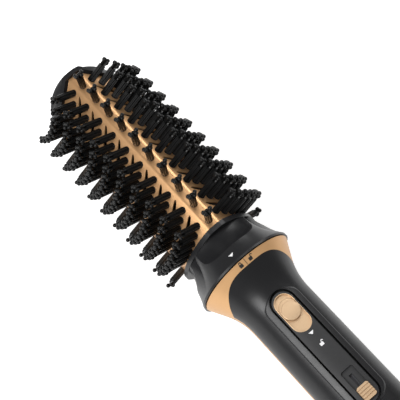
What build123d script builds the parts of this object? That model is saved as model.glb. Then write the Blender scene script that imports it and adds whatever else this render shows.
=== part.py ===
from build123d import *
from math import atan2, cos, degrees, radians, sin, sqrt, tan
import os

# Hair multistyler: a rounded-triangle hot air brush head that twists and locks on a round handle.
# Millimetres, +Z up. The X axis is the axis of head and handle, and +X points to the brush tip.
# The origin is the middle of the cord gland's mouth, so the whole object lies on the +X side.

# Handle
GLAND_REACH = 8.0
HANDLE_LENGTH = 192.0
GRILLE_LENGTH = 20.0
GRIP_R = 19.6
SHELL_WALL = 2.2
NECK_START = 27.8
NECK_BEND_R = 38.0
NECK_SLOPE = 28.0

# Trim between the two handle covers
TRIM_BAND = 3.9
TRIM_SIDE = 3.2
TRIM_CORNER_LENGTH = 16.0
TRIM_CORNER_INSET = 0.35
TRIM_BEND_BACK = 2.8
TRIM_BEND_SHARE = 0.66
TRIM_SHOULDER_BACK = 6.2
TRIM_SHOULDER_SHARE = 0.765

# Brush head
RIM_FRONT = 25.0
RIM_BAND = 2.8
RIM_LIP = 2.0
RIM_FLAT = 8.4
RIM_BEVEL = 1.4
BARREL_LENGTH = 128.0
BARREL_SEAT = 2.6
BARREL_CORNER = 25.0
BARREL_FACE = 20.5
BARREL_WALL = 1.6
STRIP_WIDTH = 6.0
STRIP_TAPER = 1.1
EDGE_ROUND = 1.0
CORE_R = 15.9
CORE_WALL = 1.6
CORE_FIN = 2.0
CORE_WINDOW = 13.0
CORE_WINDOW_BAR = 6.0

# Collar and tip cap
COLLAR_BASE_R = 30.3
COLLAR_FOOT = 1.2
COLLAR_GAP = 0.4
COLLAR_WALL = 2.4
COLLAR_FLOOR = 6.0
COLLAR_VALLEY_R = 20.8
COLLAR_SAG_CORNER = 1.1
COLLAR_SAG_VALLEY = 1.8
SCOOP_START = 10.0
SCOOP_DEPTH = 4.2
SCOOP_BACK = 3.5
SCOOP_CURVE = 0.5
CAP_RIM = 2.8
CAP_BEVEL = 1.4
CAP_DIP = 6.6
CAP_DOME = 18.4
CAP_DOME_START = 2.3
CAP_HOLLOW = 1.0
CAP_NOTCH = 3.4
CAP_STEP = 0.5
CAP_LIP = 2.4
CAP_FLAT = 7.0
CAP_SKIRT = 6.0
CAP_WALL = 2.0

# Bristles
ROWS = 10
ROW_PITCH = 12.4
FIRST_ROW = 29.8
TUFT_LENGTH = 15.2
ROW_BEND_R = 32.0
ROW_LEAD = -2.2
TUFTS_ACROSS = 8
TUFT_SPACING = 4.65
TUFT_WIDTH = 2.3
STRAND = 1.1
STRAND_SPREAD = 1.35
BACKING = 1.1
BACKING_MARGIN = 4.0
FACE_BACKING_WIDTH = 36.4
STRIP_BACKING_WIDTH = 4.4
REST_CUT = 1.1
SLOT_LENGTH = 35.2
SLOT_WIDTH = 1.8
SLOT_POINT = 1.4

# Bayonet between head and handle
TWIST = 13.5
SPIGOT_R = 17.9
LUG_R = 19.8
LUG_ANGLE = 10.0
LUG_LENGTH = 3.4
GATE_MARGIN = 1.2
TAIL_TUBE_R = 14.2
TAIL_TUBE_WALL = 2.2
TAIL_TUBE_END = 22.0
SOCKET_FRONT = 0.8
SOCKET_FLANGE = 3.0
SOCKET_LENGTH = 10.0

# Control panel and release
PANEL_FRONT = 23.5
PANEL_LENGTH = 73.5
PANEL_HALF = 6.4
PANEL_GROOVE = 1.2
PANEL_SUNK = 0.2
LIP_RISE = 0.5
LIP_WIDTH = 3.4
LIP_FOOT = 16.6
LIP_TOP = 21.6
LIP_SLOPE = 42.0
PANEL_BASE = 14.0
FLANGE_THICK = 1.2
FLANGE_HALF = 8.3
TRACK_FRONT = 24.8
TRACK_LENGTH = 23.8
TRACK_HALF = 5.7
TRACK_LIP = 0.35
TRACK_WALL = 1.4
TRACK_FLOOR = 17.9
BUTTON_R = 5.0
BUTTON_X = 35.4
BUTTON_TOP = 20.5
BUTTON_DOME = 0.7
RELEASE_TRAVEL = 6.0
STEM_HALF = 2.0
STEM_LENGTH = 5.0
LATCH_BASE = 12.2
LATCH_THICK = 1.4
LATCH_NOSE = 3.0
LATCH_NOSE_HALF = 2.4
LATCH_HALF = 5.2
LATCH_BACK = 58.0
LATCH_FRAME = 4.0
NOTCH_MARGIN = 1.0
SPRING_R = 1.1
SPRING_WALL = 0.5
SPRING_LENGTH = 12.0
SPRING_Y = 3.0
STOP_THICK = 1.5
STOP_HALF = 4.4

# Heat switch and its board
SWITCH_SETBACK = 6.0
SWITCH_TRAVEL = 10.0
SWITCH_LENGTH = 8.0
SWITCH_HALF = 3.7
SWITCH_TOP = 20.5
SWITCH_FLOOR = 18.0
SWITCH_DECK = 1.2
SWITCH_GROOVE = 0.7
SWITCH_GROOVES = 4
SWITCH_STEM_LENGTH = 3.0
SWITCH_STEM_HALF = 1.0
SWITCH_STEM_DEPTH = 2.0
SWITCH_BODY_HALF = 3.6
SWITCH_BODY_END = 1.1
WELL_MARGIN = 1.0
WELL_CORNER = 1.2
BOARD_LENGTH = 23.0
BOARD_HALF = 6.0
BOARD_THICK = 1.0
BOARD_BASE = 12.3
BOARD_SETBACK = 1.0
POST_R = 1.0
POST_INSET = 1.4

# Heater and ion generator
DUCT_R = 11.9
DUCT_WALL = 0.9
DUCT_FRONT = 27.0
DUCT_LENGTH = 68.0
RIB_THICK = 2.0
RIB_SETBACK = 2.0
HEATER_LENGTH = 54.0
HEATER_R = 8.9
MICA = 0.8
MICA_BAR = 3.0
COIL_WALL = 0.9
COIL_SETBACK = 4.0
THERMOSTAT_LENGTH = 4.0
THERMOSTAT_HALF = 3.0
THERMOSTAT_HEIGHT = 4.0
ION_FRONT = 40.0
ION_LENGTH = 24.0
ION_HALF = 4.5
NEEDLE_R = 0.5
NEEDLE_DROP = 2.0
NEEDLE_LENGTH = 16.0

# Motor and fan
SHROUD_FRONT = 101.0
SHROUD_LENGTH = 41.0
SHROUD_WALL = 1.3
VANES = 5
VANE_LENGTH = 16.0
VANE_THICK = 1.0
VANE_SETBACK = 4.0
MOTOR_R = 10.4
MOTOR_LENGTH = 26.0
MOTOR_SETBACK = 2.0
MOTOR_EDGE = 0.8
BEARING_R = 3.5
BEARING_LENGTH = 2.0
SHAFT_R = 1.0
SHAFT_GAP = 0.05
SHAFT_DEPTH = 9.5
FAN_HUB_R = 5.5
FAN_LENGTH = 7.5
FAN_NOSE = 3.2
FAN_BLADES = 7
FAN_TIP_GAP = 0.6
FAN_PITCH = 35.0
BLADE_THICK = 0.9
BLADE_ROOT = 1.0

# Rear end
GRILLE_R = 19.2
GRILLE_SLOTS = 12
GRILLE_SLOT = 2.0
GRILLE_SLOT_START = 10.4
GRILLE_WALL = 2.2
GRILLE_ROUND = 4.0
GRILLE_SKIRT = 4.0
SKIRT_WALL = 1.3
FILTER_THICK = 0.8
CONTACT_OVERHANG = 2.0
GLAND_BORE_R = 3.3
GLAND_MOUTH_R = 5.4
GLAND_NECK_R = 6.9
GLAND_COLLAR_R = 9.2
GLAND_EDGE = 2.0
GLAND_FLANGE = 2.0
GLAND_DEPTH = 9.2
GLAND_STEP = 1.2

# Cover screws
SCREW_R = 1.2
SCREW_HEAD_R = 2.1
SCREW_HEAD = 1.8
SCREW_REACH = 5.0
SCREW_GRIP = 4.0
SCREW_SLOT = 0.7
SCREW_SLOT_DEPTH = 0.8
BOSS_R = 2.4
BOSS_Y = 14.6
BOSS_FRONT = 50.0
BOSS_BACK = 150.0

# Clearances
RUN = 0.1
FIT = 0.15
GAP = 0.3
TOUCH = 0.02

# Places worked out from the sizes above
RING = GLAND_REACH + HANDLE_LENGTH
SHELL_IN = GRIP_R - SHELL_WALL
COVER_END = GLAND_REACH + GRILLE_LENGTH
SWITCH_X = PANEL_FRONT + PANEL_LENGTH - SWITCH_SETBACK
FILTER_BACK = GLAND_REACH + GRILLE_WALL + GLAND_FLANGE + 2 * GAP
REAR_RIB = COVER_END + GRILLE_SKIRT + GAP
RIM_BACK = RIM_FRONT - RIM_BAND
BARREL_BACK = RIM_FRONT - BARREL_SEAT
BARREL_FRONT = BARREL_BACK + BARREL_LENGTH
CAP_BACK = BARREL_FRONT - FIT
FACE_TURNS = (60, 180, 300)
STRIP_TURNS = (0, 120, 240)


def at(station):
    """X of a place given by its distance from the ring's front edge, positive towards the tip."""
    return RING + station


def tube(x0, x1, outer, inner):
    """Round tube along X."""
    section = Circle(outer) - Circle(inner)
    return extrude(Plane.YZ.offset(x0) * section, x1 - x0)


def rod(x0, x1, radius):
    """Round rod along X."""
    return extrude(Plane.YZ.offset(x0) * Circle(radius), x1 - x0)


def block(x0, x1, y0, y1, z0, z1):
    """Box between two corners."""
    size = Box(abs(x1 - x0), y1 - y0, z1 - z0)
    return Pos((x0 + x1) / 2, (y0 + y1) / 2, (z0 + z1) / 2) * size


def turned(*edges):
    """Solid of revolution about X from a closed outline of (x, radius) edges."""
    return revolve(Plane.XZ * make_face(Curve() + list(edges)), Axis.X)


def lathe(points):
    """Solid of revolution about X from a closed polygon of (x, radius) points."""
    return revolve(Plane.XZ * make_face(Polyline(*points, close=True)), Axis.X)


def stadium(x_front, length, half, z0, z1):
    """Upright prism with round ends; x_front and length are measured towards the tail."""
    straight = length - 2 * half
    outline = SlotCenterToCenter(straight, 2 * half)
    centre = at(-x_front) - length / 2
    return Pos(centre, 0, z0) * extrude(outline, z1 - z0)


def spun(shape, angle):
    """Copy turned about the device axis."""
    return shape.rotate(Axis.X, angle)


def lobed(corner, face, flat):
    """Rounded triangle: three flat corners of width flat, with bulging faces between them."""
    half = flat / 2
    points = []
    for turn in STRIP_TURNS:
        a = radians(turn)
        for y in (-half, half):
            points.append((y * cos(a) + corner * sin(a), corner * cos(a) - y * sin(a)))
    edges = []
    for i in range(3):
        start, end = points[2 * i], points[2 * i + 1]
        following = points[(2 * i + 2) % 6]
        middle = radians(STRIP_TURNS[i] + 60)
        edges.append(Line(start, end))
        edges.append(ThreePointArc(end, (face * sin(middle), face * cos(middle)), following))
    return make_face(Curve() + edges)


def petals(corner, valley):
    """Three arcs that bulge at the corners and meet in a valley at the middle of each face."""
    edges = []
    for turn in STRIP_TURNS:
        ends = []
        for side in (-60, 60):
            a = radians(turn + side)
            ends.append((valley * sin(a), valley * cos(a)))
        top = (corner * sin(radians(turn)), corner * cos(radians(turn)))
        edges.append(ThreePointArc(ends[0], top, ends[1]))
    return make_face(Curve() + edges)


def prism(section, x0, x1):
    """Section drawn in the YZ plane, extruded along X."""
    return extrude(Plane.YZ.offset(x0) * section, x1 - x0)


def inset_lobed(inset):
    """Barrel section drawn in by an inset."""
    return lobed(BARREL_CORNER - inset, BARREL_FACE - inset, STRIP_WIDTH - STRIP_TAPER * inset)


def face_arc():
    """Radius of a barrel face and the height of its centre along the face's normal."""
    half = STRIP_WIDTH / 2
    edge_r = sqrt(half**2 + BARREL_CORNER**2)
    edge_angle = radians(60) - atan2(half, BARREL_CORNER)
    half_chord = edge_r * sin(edge_angle)
    chord_height = edge_r * cos(edge_angle)
    sagitta = BARREL_FACE - chord_height
    radius = (half_chord**2 + sagitta**2) / (2 * sagitta)
    return radius, BARREL_FACE - radius


def row_stations():
    """Stations of the bristle rows, from the collar to the tip."""
    return [FIRST_ROW + i * ROW_PITCH for i in range(ROWS)]


def row_bend(y):
    """How far a row has run on towards the tip at a distance from the middle of its face."""
    return ROW_BEND_R - sqrt(ROW_BEND_R**2 - y**2)


def bent_arc(x, half):
    """Arc across a face that runs on towards the tip like the rows, drawn from side to side."""
    end = x + row_bend(half)
    return ThreePointArc((end, -half), (x, 0), (end, half))


def slot_cutters(face_turn):
    """Blade-shaped air slots, one between each two rows of a face and bent like them."""
    half = SLOT_LENGTH / 2
    shoulder = half - SLOT_POINT
    tools = []
    for station in row_stations()[:-1]:
        x = at(station + ROW_LEAD + ROW_PITCH / 2)
        tip = x + row_bend(half)
        back = bent_arc(x - SLOT_WIDTH / 2, shoulder)
        front = bent_arc(x + SLOT_WIDTH / 2, shoulder)
        points = [Line(front @ 0, (tip, -half)), Line((tip, -half), back @ 0)]
        points += [Line(back @ 1, (tip, half)), Line((tip, half), front @ 1)]
        outline = make_face(Curve() + [back, front] + points)
        blade = Pos(0, 0, BARREL_FACE / 2) * extrude(outline, BARREL_FACE)
        tools.append(spun(blade, face_turn))
    return tools


def backing_span():
    """Ends of the bristle slices along X."""
    return at(FIRST_ROW - BACKING_MARGIN), at(FIRST_ROW + (ROWS - 1) * ROW_PITCH + BACKING_MARGIN)


def face_backing():
    """Slice of the top-turned barrel face that the face bristles are rooted in."""
    radius, centre = face_arc()
    outer = Pos(0, centre) * Circle(radius)
    inner = Pos(0, centre) * Circle(radius - BACKING)
    window = Pos(0, BARREL_FACE) * Rectangle(FACE_BACKING_WIDTH, BARREL_FACE)
    return prism((outer - inner) & window, *backing_span())


def strip_backing():
    """Slice of the top corner strip that the strip bristles are rooted in."""
    half = STRIP_BACKING_WIDTH / 2
    return block(*backing_span(), -half, half, BARREL_CORNER - BACKING, BARREL_CORNER)


def strand(x, y, surface, width):
    """Square strand that stands on a surface of a given height and is rooted in it."""
    length = TUFT_LENGTH + BACKING / 2
    return Pos(x, y, surface - BACKING / 2 + length / 2) * Box(width, width, length)


def make_face_bristles():
    """Bristles of one face, standing up, with the air slots open between the rows."""
    radius, centre = face_arc()
    backing = face_backing() - slot_cutters(0)
    strands = []
    for station in row_stations():
        for i in range(TUFTS_ACROSS):
            y = (i - (TUFTS_ACROSS - 1) / 2) * TUFT_SPACING
            x = at(station + ROW_LEAD) + row_bend(y)
            strands.append(strand(x, y, centre + sqrt(radius**2 - y**2), TUFT_WIDTH))
    return backing.fuse(*strands)


def make_strip_bristles():
    """Bristles of one corner strip, standing up."""
    strands = []
    for station in row_stations():
        for along, across in ((-1, -1), (0, 1), (1, -1)):
            x = at(station) + along * STRAND_SPREAD
            strands.append(strand(x, across * STRAND_SPREAD / 2, BARREL_CORNER, STRAND))
    return strip_backing().fuse(*strands)


def below_rest():
    """All space under the plane that the bottom bristles are cut to, so that they stand on it."""
    plane = -BARREL_FACE - TUFT_LENGTH + REST_CUT
    return block(*backing_span(), -2 * BARREL_CORNER, 2 * BARREL_CORNER, 2 * plane, plane)


def make_barrel():
    """Hollow barrel with its air slots and the shallow seats of the bristle slices."""
    outline = fillet(lobed(BARREL_CORNER, BARREL_FACE, STRIP_WIDTH).vertices(), EDGE_ROUND)
    barrel = prism(outline - inset_lobed(BARREL_WALL), at(BARREL_BACK), at(BARREL_FRONT))
    tools = []
    for turn in FACE_TURNS:
        tools += slot_cutters(turn)
        tools.append(spun(face_backing(), turn))
    for turn in STRIP_TURNS:
        tools.append(spun(strip_backing(), turn))
    return barrel - tools


def make_core():
    """Inner frame: an air tube with windows and three fins that reach the corner strips."""
    inner = CORE_R - CORE_WALL
    x0 = at(COLLAR_GAP + COLLAR_WALL)
    x1 = at(BARREL_FRONT - CAP_SKIRT - GAP)
    core = tube(x0, x1, CORE_R, inner)
    root = CORE_R - CORE_WALL / 2
    fin_top = BARREL_CORNER - BARREL_WALL - RUN
    fin = block(at(BARREL_BACK + GAP), x1, -CORE_FIN / 2, CORE_FIN / 2, root, fin_top)
    core = core.fuse(*[spun(fin, turn) for turn in STRIP_TURNS])
    windows = []
    length = 2 * ROW_PITCH - CORE_WINDOW_BAR
    for station in row_stations()[:-1:2]:
        start = at(station)
        half = CORE_WINDOW / 2
        window = block(start, start + length, -half, half, inner / 2, CORE_R + CORE_WALL)
        windows += [spun(window, turn) for turn in FACE_TURNS]
    return core - windows


def face_third(low, high, face_turn):
    """Third of all space round one face, between two bent edges that run level over the strips."""
    reach = 2 * BARREL_CORNER
    half = sqrt(ROW_BEND_R**2 - (ROW_BEND_R - CAP_DIP) ** 2)
    edges = []
    for x in (low, high):
        edges.append(bent_arc(x - CAP_DIP, half))
        edges.append(Line((x, -half), (x, -reach)))
        edges.append(Line((x, half), (x, reach)))
    edges.append(Line((low, -reach), (high, -reach)))
    edges.append(Line((low, reach), (high, reach)))
    slab = extrude(make_face(Curve() + edges), reach)
    third = slab & wedge(-60, 60, reach, low - CAP_DIP, high)
    return spun(third, face_turn)


def make_tip_cap():
    """Black end cap: raised rim that dips over each face, three-lobed dome, and a skirt in the barrel."""
    corner = BARREL_CORNER + CAP_LIP
    face = BARREL_FACE + CAP_LIP
    x_back = at(CAP_BACK)
    x_far = x_back - 2 * CAP_DIP
    rim_front = x_back + CAP_RIM
    skirt_back = at(BARREL_FRONT - CAP_SKIRT)
    outline = chamfer(lobed(corner, face, CAP_FLAT).vertices(), CAP_BEVEL)
    rim_prism = prism(outline, x_back - CAP_DIP, rim_front)
    rims = [rim_prism & face_third(x_back, rim_front, turn) for turn in FACE_TURNS]
    dome_back = x_back - CAP_DIP + CAP_DOME_START
    sections = []
    for angle in (0, 22, 44, 64, 80):
        scale = cos(radians(angle))
        x = dome_back + CAP_DOME * sin(radians(angle))
        lobes = lobed((corner - CAP_NOTCH) * scale, (face - CAP_STEP) * scale, CAP_FLAT * scale)
        sections.append(Plane.YZ.offset(x) * lobes)
    dome = loft(sections) - [face_third(x_far, x_back, turn) for turn in FACE_TURNS]
    skirt_outline = inset_lobed(BARREL_WALL + FIT)
    hollow_front = x_back + CAP_HOLLOW
    skirt = prism(skirt_outline, skirt_back, hollow_front)
    hollow = prism(inset_lobed(BARREL_WALL + FIT + CAP_WALL), skirt_back, hollow_front)
    seat = prism(inset_lobed(0) - skirt_outline, x_back - CAP_DIP, at(BARREL_FRONT))
    return dome.fuse(*rims, skirt) - seat - hollow


def make_collar():
    """Black collar: round at the ring, three petals with a scoop each, and a rounded-triangle rim."""
    corner = BARREL_CORNER + RIM_LIP
    face = BARREL_FACE + RIM_LIP
    foot_front = COLLAR_GAP + COLLAR_FOOT
    neck_length = RIM_BACK - foot_front
    foot = prism(Circle(COLLAR_BASE_R), at(COLLAR_GAP), at(foot_front))
    sections = []
    for share in (0, 0.2, 0.45, 0.7, 1):
        sag = 4 * share * (1 - share)
        corner_r = COLLAR_BASE_R + (corner - COLLAR_BASE_R) * share - COLLAR_SAG_CORNER * sag
        valley_r = COLLAR_BASE_R + (COLLAR_VALLEY_R - COLLAR_BASE_R) * share - COLLAR_SAG_VALLEY * sag
        plane = Plane.YZ.offset(at(foot_front + share * neck_length))
        sections.append(plane * petals(corner_r, valley_r))
    rim_outline = chamfer(lobed(corner, face, RIM_FLAT).vertices(), RIM_BEVEL)
    rim = prism(rim_outline, at(RIM_BACK), at(RIM_FRONT))
    floor = corner - SCOOP_DEPTH
    low = (at(SCOOP_START), corner + SCOOP_CURVE)
    deep = (at(RIM_BACK - SCOOP_BACK), floor + SCOOP_CURVE)
    high = (at(RIM_BACK), floor)
    top = 2 * corner
    scoop = turned(
        ThreePointArc(low, deep, high),
        Line(high, (high[0], top)),
        Line((high[0], top), (low[0], top)),
        Line((low[0], top), low),
    )
    cavity_front = at(RIM_BACK - COLLAR_FLOOR)
    cavity = rod(at(COLLAR_GAP), cavity_front, collar_cavity_r())
    bore = rod(cavity_front, at(RIM_FRONT), CORE_R + RUN)
    seat = prism(inset_lobed(0), at(BARREL_BACK), at(RIM_FRONT))
    return foot + loft(sections) + rim - scoop - cavity - bore - seat


def collar_cavity_r():
    """Radius of the collar's cavity, which the spigot's flange is glued into."""
    return BARREL_FACE + RIM_LIP - COLLAR_WALL


def make_spigot():
    """Bayonet spigot: flange in the collar, tube with three lugs, and a notched tail tube."""
    inner = TAIL_TUBE_R - TAIL_TUBE_WALL
    lug_front = -(SOCKET_FRONT + SOCKET_FLANGE + GAP)
    lug_back = lug_front - LUG_LENGTH
    tubes = [
        tube(at(COLLAR_GAP), at(COLLAR_GAP + COLLAR_WALL), collar_cavity_r(), inner),
        tube(at(lug_back), at(COLLAR_GAP), SPIGOT_R, inner),
        tube(at(-TAIL_TUBE_END), at(lug_back), TAIL_TUBE_R, inner),
    ]
    lug_ring = tube(at(lug_back), at(lug_front), LUG_R, TAIL_TUBE_R)
    lug = lug_ring & wedge(-LUG_ANGLE / 2, LUG_ANGLE / 2, 2 * LUG_R, at(lug_back), at(lug_front))
    spigot = tubes[0].fuse(*tubes[1:], *[spun(lug, turn) for turn in STRIP_TURNS])
    return spigot - latch_notch()


def wedge(low, high, reach, x0, x1):
    """Wedge between two turns about the device axis, up to a reach past any round piece."""
    points = [(0, 0)]
    for turn in (low, (low + high) / 2, high):
        points.append((reach * sin(radians(turn)), reach * cos(radians(turn))))
    return prism(make_face(Polyline(*points, close=True)), x0, x1)


def latch_notch():
    """Notch in the tail tube's rear rim, as long as the twist, where the latch nose lies."""
    nose = degrees(atan2(LATCH_NOSE_HALF + GAP, LATCH_BASE)) + NOTCH_MARGIN
    back = -TAIL_TUBE_END
    return wedge(-nose, nose + TWIST, 2 * TAIL_TUBE_R, at(back - GAP), at(back + LATCH_NOSE + GAP))


def shell_profile(wall):
    """Edges of the handle's outline, drawn in by a wall, from the grille joint to the ring."""
    bend_x = at(-NECK_START)
    centre_r = GRIP_R + NECK_BEND_R
    bend = NECK_BEND_R + wall
    slope = radians(NECK_SLOPE)
    start = (COVER_END, GRIP_R - wall)
    bend_start = (bend_x, GRIP_R - wall)
    bend_mid = (bend_x + bend * sin(slope / 2), centre_r - bend * cos(slope / 2))
    bend_end = (bend_x + bend * sin(slope), centre_r - bend * cos(slope))
    ring = (RING, bend_end[1] + (RING - bend_end[0]) * tan(slope))
    edges = [Line(start, bend_start), ThreePointArc(bend_start, bend_mid, bend_end), Line(bend_end, ring)]
    return start, ring, edges


def neck_radius(station, inset):
    """Radius of the flared neck, drawn in by an inset, at a station close behind the ring."""
    bend_x = -NECK_START
    slope = radians(NECK_SLOPE)
    bend = NECK_BEND_R + inset
    end_x = bend_x + bend * sin(slope)
    end_r = GRIP_R + NECK_BEND_R - bend * cos(slope)
    return end_r + (station - end_x) * tan(slope)


def make_shell():
    """Full round handle shell before it is divided into covers and trim."""
    outer_start, outer_ring, outer_edges = shell_profile(0)
    inner_start, inner_ring, inner_edges = shell_profile(SHELL_WALL)
    ends = [Line(outer_ring, inner_ring), Line(inner_start, outer_start)]
    return turned(*outer_edges, ends[0], *inner_edges, ends[1])


def cover_window(side):
    """Prism that holds one cover: all of the shell on one side, behind the trim's curved edge."""
    x_edge = at(-TRIM_BAND)
    x_wide = x_edge - TRIM_CORNER_LENGTH
    wide = GRIP_R + 2 * TRIM_CORNER_INSET
    far = 2 * GRIP_R
    bend = (x_edge - TRIM_BEND_BACK, neck_radius(-TRIM_BAND, 0) * TRIM_BEND_SHARE)
    shoulder = (x_edge - TRIM_SHOULDER_BACK, neck_radius(-TRIM_BAND, 0) * TRIM_SHOULDER_SHARE)
    front = Spline(
        (x_wide, -wide),
        (shoulder[0], -shoulder[1]),
        (bend[0], -bend[1]),
        (x_edge, 0),
        bend,
        shoulder,
        (x_wide, wide),
    )
    rest = Polyline((x_wide, wide), (x_wide, far), (0, far), (0, -far), (x_wide, -far), (x_wide, -wide))
    outline = make_face(Curve() + [front, *rest.edges()])
    prism_up = Pos(0, 0, TRIM_SIDE / 2) * extrude(outline, far)
    return prism_up if side > 0 else prism_up.mirror(Plane.XY)


def bosses(side):
    """Screw bosses of one cover, from its wall to the joint plane of the bosses."""
    joint = -TRIM_SIDE / 2
    root = SHELL_IN + SHELL_WALL / 4
    wall_z = sqrt(root**2 - BOSS_Y**2)
    posts = []
    for x, y in screw_places():
        z0, z1 = (joint, wall_z) if side > 0 else (-wall_z, joint)
        posts.append(Pos(x, y, z0) * extrude(Circle(BOSS_R), z1 - z0))
    keep = rod(COVER_END, at(-NECK_START), SHELL_IN + SHELL_WALL / 2)
    return [post & keep for post in posts]


def screw_places():
    """X and Y of the four screw axes."""
    return [(at(-station), y) for station in (BOSS_FRONT, BOSS_BACK) for y in (-BOSS_Y, BOSS_Y)]


def screw_holes(radius, z0, z1):
    """Upright holes on the screw axes."""
    return [Pos(x, y, z0) * extrude(Circle(radius), z1 - z0) for x, y in screw_places()]


def half_rib(x0, thick, inner):
    """Half ring that stands on the back cover's inner wall and carries a round piece."""
    ring = tube(x0, x0 + thick, SHELL_IN + SHELL_WALL / 4, inner)
    low = block(x0, x0 + thick, -GRIP_R, GRIP_R, -GRIP_R, -TRIM_SIDE / 2)
    return ring & low


def panel_lip():
    """Soft mound on the cover round the panel's opening, one even rise above the cover's skin."""
    outer_start, outer_ring, outer_edges = shell_profile(-LIP_RISE)
    inner_start, inner_ring, inner_edges = shell_profile(SHELL_WALL / 2)
    ends = [Line(outer_ring, inner_ring), Line(inner_start, outer_start)]
    skin = turned(*outer_edges, ends[0], *inner_edges, ends[1])
    margin = PANEL_GROOVE + LIP_WIDTH
    half = PANEL_HALF + margin
    length = PANEL_LENGTH + 2 * margin
    middle = at(margin - PANEL_FRONT) - length / 2
    foot = Pos(middle, 0, LIP_FOOT) * SlotCenterToCenter(length - 2 * half, 2 * half)
    return skin & extrude(foot, LIP_TOP - LIP_FOOT, taper=LIP_SLOPE)


def make_front_cover(shell):
    """Black front cover with the opening of the control panel and the lip round it."""
    cover = shell & cover_window(1)
    cover = cover.fuse(panel_lip(), *bosses(1))
    opening = stadium(PANEL_FRONT - PANEL_GROOVE, PANEL_LENGTH + 2 * PANEL_GROOVE, PANEL_HALF + PANEL_GROOVE,
                      PANEL_BASE, 2 * GRIP_R)
    return cover - opening - screw_holes(SCREW_R, -TRIM_SIDE, SCREW_REACH + GAP)


def make_back_cover(shell):
    """Black back cover with ribs for the inner pieces and counterbored screw holes."""
    cover = shell & cover_window(-1)
    ribs = [
        half_rib(at(-DUCT_FRONT - RIB_SETBACK - RIB_THICK), RIB_THICK, DUCT_R),
        half_rib(at(-DUCT_FRONT - DUCT_LENGTH + RIB_SETBACK), RIB_THICK, DUCT_R),
        half_rib(REAR_RIB, RIB_THICK, GLAND_NECK_R),
    ]
    cover = cover.fuse(*bosses(-1), *ribs)
    through = screw_holes(SCREW_R + RUN, -GRIP_R, 0)
    counterbores = screw_holes(SCREW_HEAD_R + FIT, -2 * GRIP_R, screw_seat())
    return cover - needle(NEEDLE_R + RUN) - through - counterbores


def screw_seat():
    """Height of the face that the screw heads bear on."""
    return -TRIM_SIDE / 2 - SCREW_GRIP


def needle(radius):
    """Rod along the ion needle's line."""
    line = rod(at(-ION_FRONT), at(-ION_FRONT + NEEDLE_LENGTH), radius)
    return Pos(0, 0, -DUCT_R - NEEDLE_DROP) * line


def make_trim(shell):
    """Gold trim: the ring at the handle's mouth and a strip down each side, in one piece."""
    return shell - cover_window(1) - cover_window(-1)


def make_screws():
    """Four slotted screws that hold the covers together."""
    seat = screw_seat()
    shank = Pos(0, 0, seat) * extrude(Circle(SCREW_R), SCREW_REACH - seat)
    head = Pos(0, 0, seat - SCREW_HEAD) * extrude(Circle(SCREW_HEAD_R), SCREW_HEAD)
    slot = Pos(0, 0, seat - SCREW_HEAD) * Box(2 * SCREW_HEAD_R, SCREW_SLOT, 2 * SCREW_SLOT_DEPTH)
    screw = shank + head - slot
    return Compound(children=[Pos(x, y, 0) * screw for x, y in screw_places()])


def make_socket():
    """Socket ring in the handle's mouth: front flange with three lug gates and a rear stop."""
    front = -SOCKET_FRONT
    flange_back = front - SOCKET_FLANGE
    back = -SOCKET_LENGTH
    channel = LUG_R + FIT
    stop_front = flange_back - LUG_LENGTH - 3 * GAP
    socket = lathe((
        (at(front), SPIGOT_R + RUN),
        (at(front), neck_radius(front, SHELL_WALL) - RUN),
        (at(back), neck_radius(back, SHELL_WALL) - RUN),
        (at(back), TAIL_TUBE_R + GAP),
        (at(stop_front), TAIL_TUBE_R + GAP),
        (at(stop_front), channel),
        (at(flange_back), channel),
        (at(flange_back), SPIGOT_R + RUN),
    ))
    half = LUG_ANGLE / 2 + GATE_MARGIN
    span = (at(flange_back), at(front))
    gate = wedge(-half, half, 2 * channel, *span) & rod(*span, channel)
    return socket - [spun(gate, turn + TWIST) for turn in STRIP_TURNS]


def make_panel():
    """Control panel strip with its flange, track opening, switch well and spring stop."""
    top = PANEL_BASE + FLANGE_THICK
    strip = stadium(PANEL_FRONT, PANEL_LENGTH, PANEL_HALF, PANEL_BASE, 2 * GRIP_R)
    strip &= rod(at(-PANEL_FRONT - PANEL_LENGTH), at(-PANEL_FRONT), GRIP_R - PANEL_SUNK)
    spare = FLANGE_HALF - PANEL_HALF
    flange = stadium(PANEL_FRONT - spare, PANEL_LENGTH + 2 * spare, FLANGE_HALF, PANEL_BASE, top)
    stop_x = at(-LATCH_BACK - SPRING_LENGTH)
    stop = block(stop_x - STOP_THICK, stop_x, -STOP_HALF, STOP_HALF, LATCH_BASE - GAP, top)
    board_top = BOARD_BASE + BOARD_THICK
    posts = []
    for x in (board_back() + POST_INSET, board_back() + BOARD_LENGTH - POST_INSET):
        for y in (-BOARD_HALF + POST_INSET, BOARD_HALF - POST_INSET):
            posts.append(Pos(x, y, board_top) * extrude(Circle(POST_R), top - board_top))
    panel = strip.fuse(flange, stop, *posts)
    track = stadium(TRACK_FRONT, TRACK_LENGTH, TRACK_HALF, PANEL_BASE, 2 * GRIP_R)
    half = SWITCH_BODY_HALF + GAP
    back, front = switch_body_span()
    pocket = block(back - GAP, front + GAP, -half, half, board_top, SWITCH_FLOOR - SWITCH_DECK)
    return panel - track - switch_well() - pocket - switch_slot(PANEL_BASE, SWITCH_FLOOR)


def board_back():
    """X of the circuit board's rear edge."""
    return at(-PANEL_FRONT - PANEL_LENGTH + BOARD_SETBACK)


def switch_body_span():
    """X of the switch body's rear and front ends."""
    reach = SWITCH_STEM_LENGTH / 2 + SWITCH_BODY_END
    return at(-SWITCH_X) - reach, at(-SWITCH_X) + SWITCH_TRAVEL + reach


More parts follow.
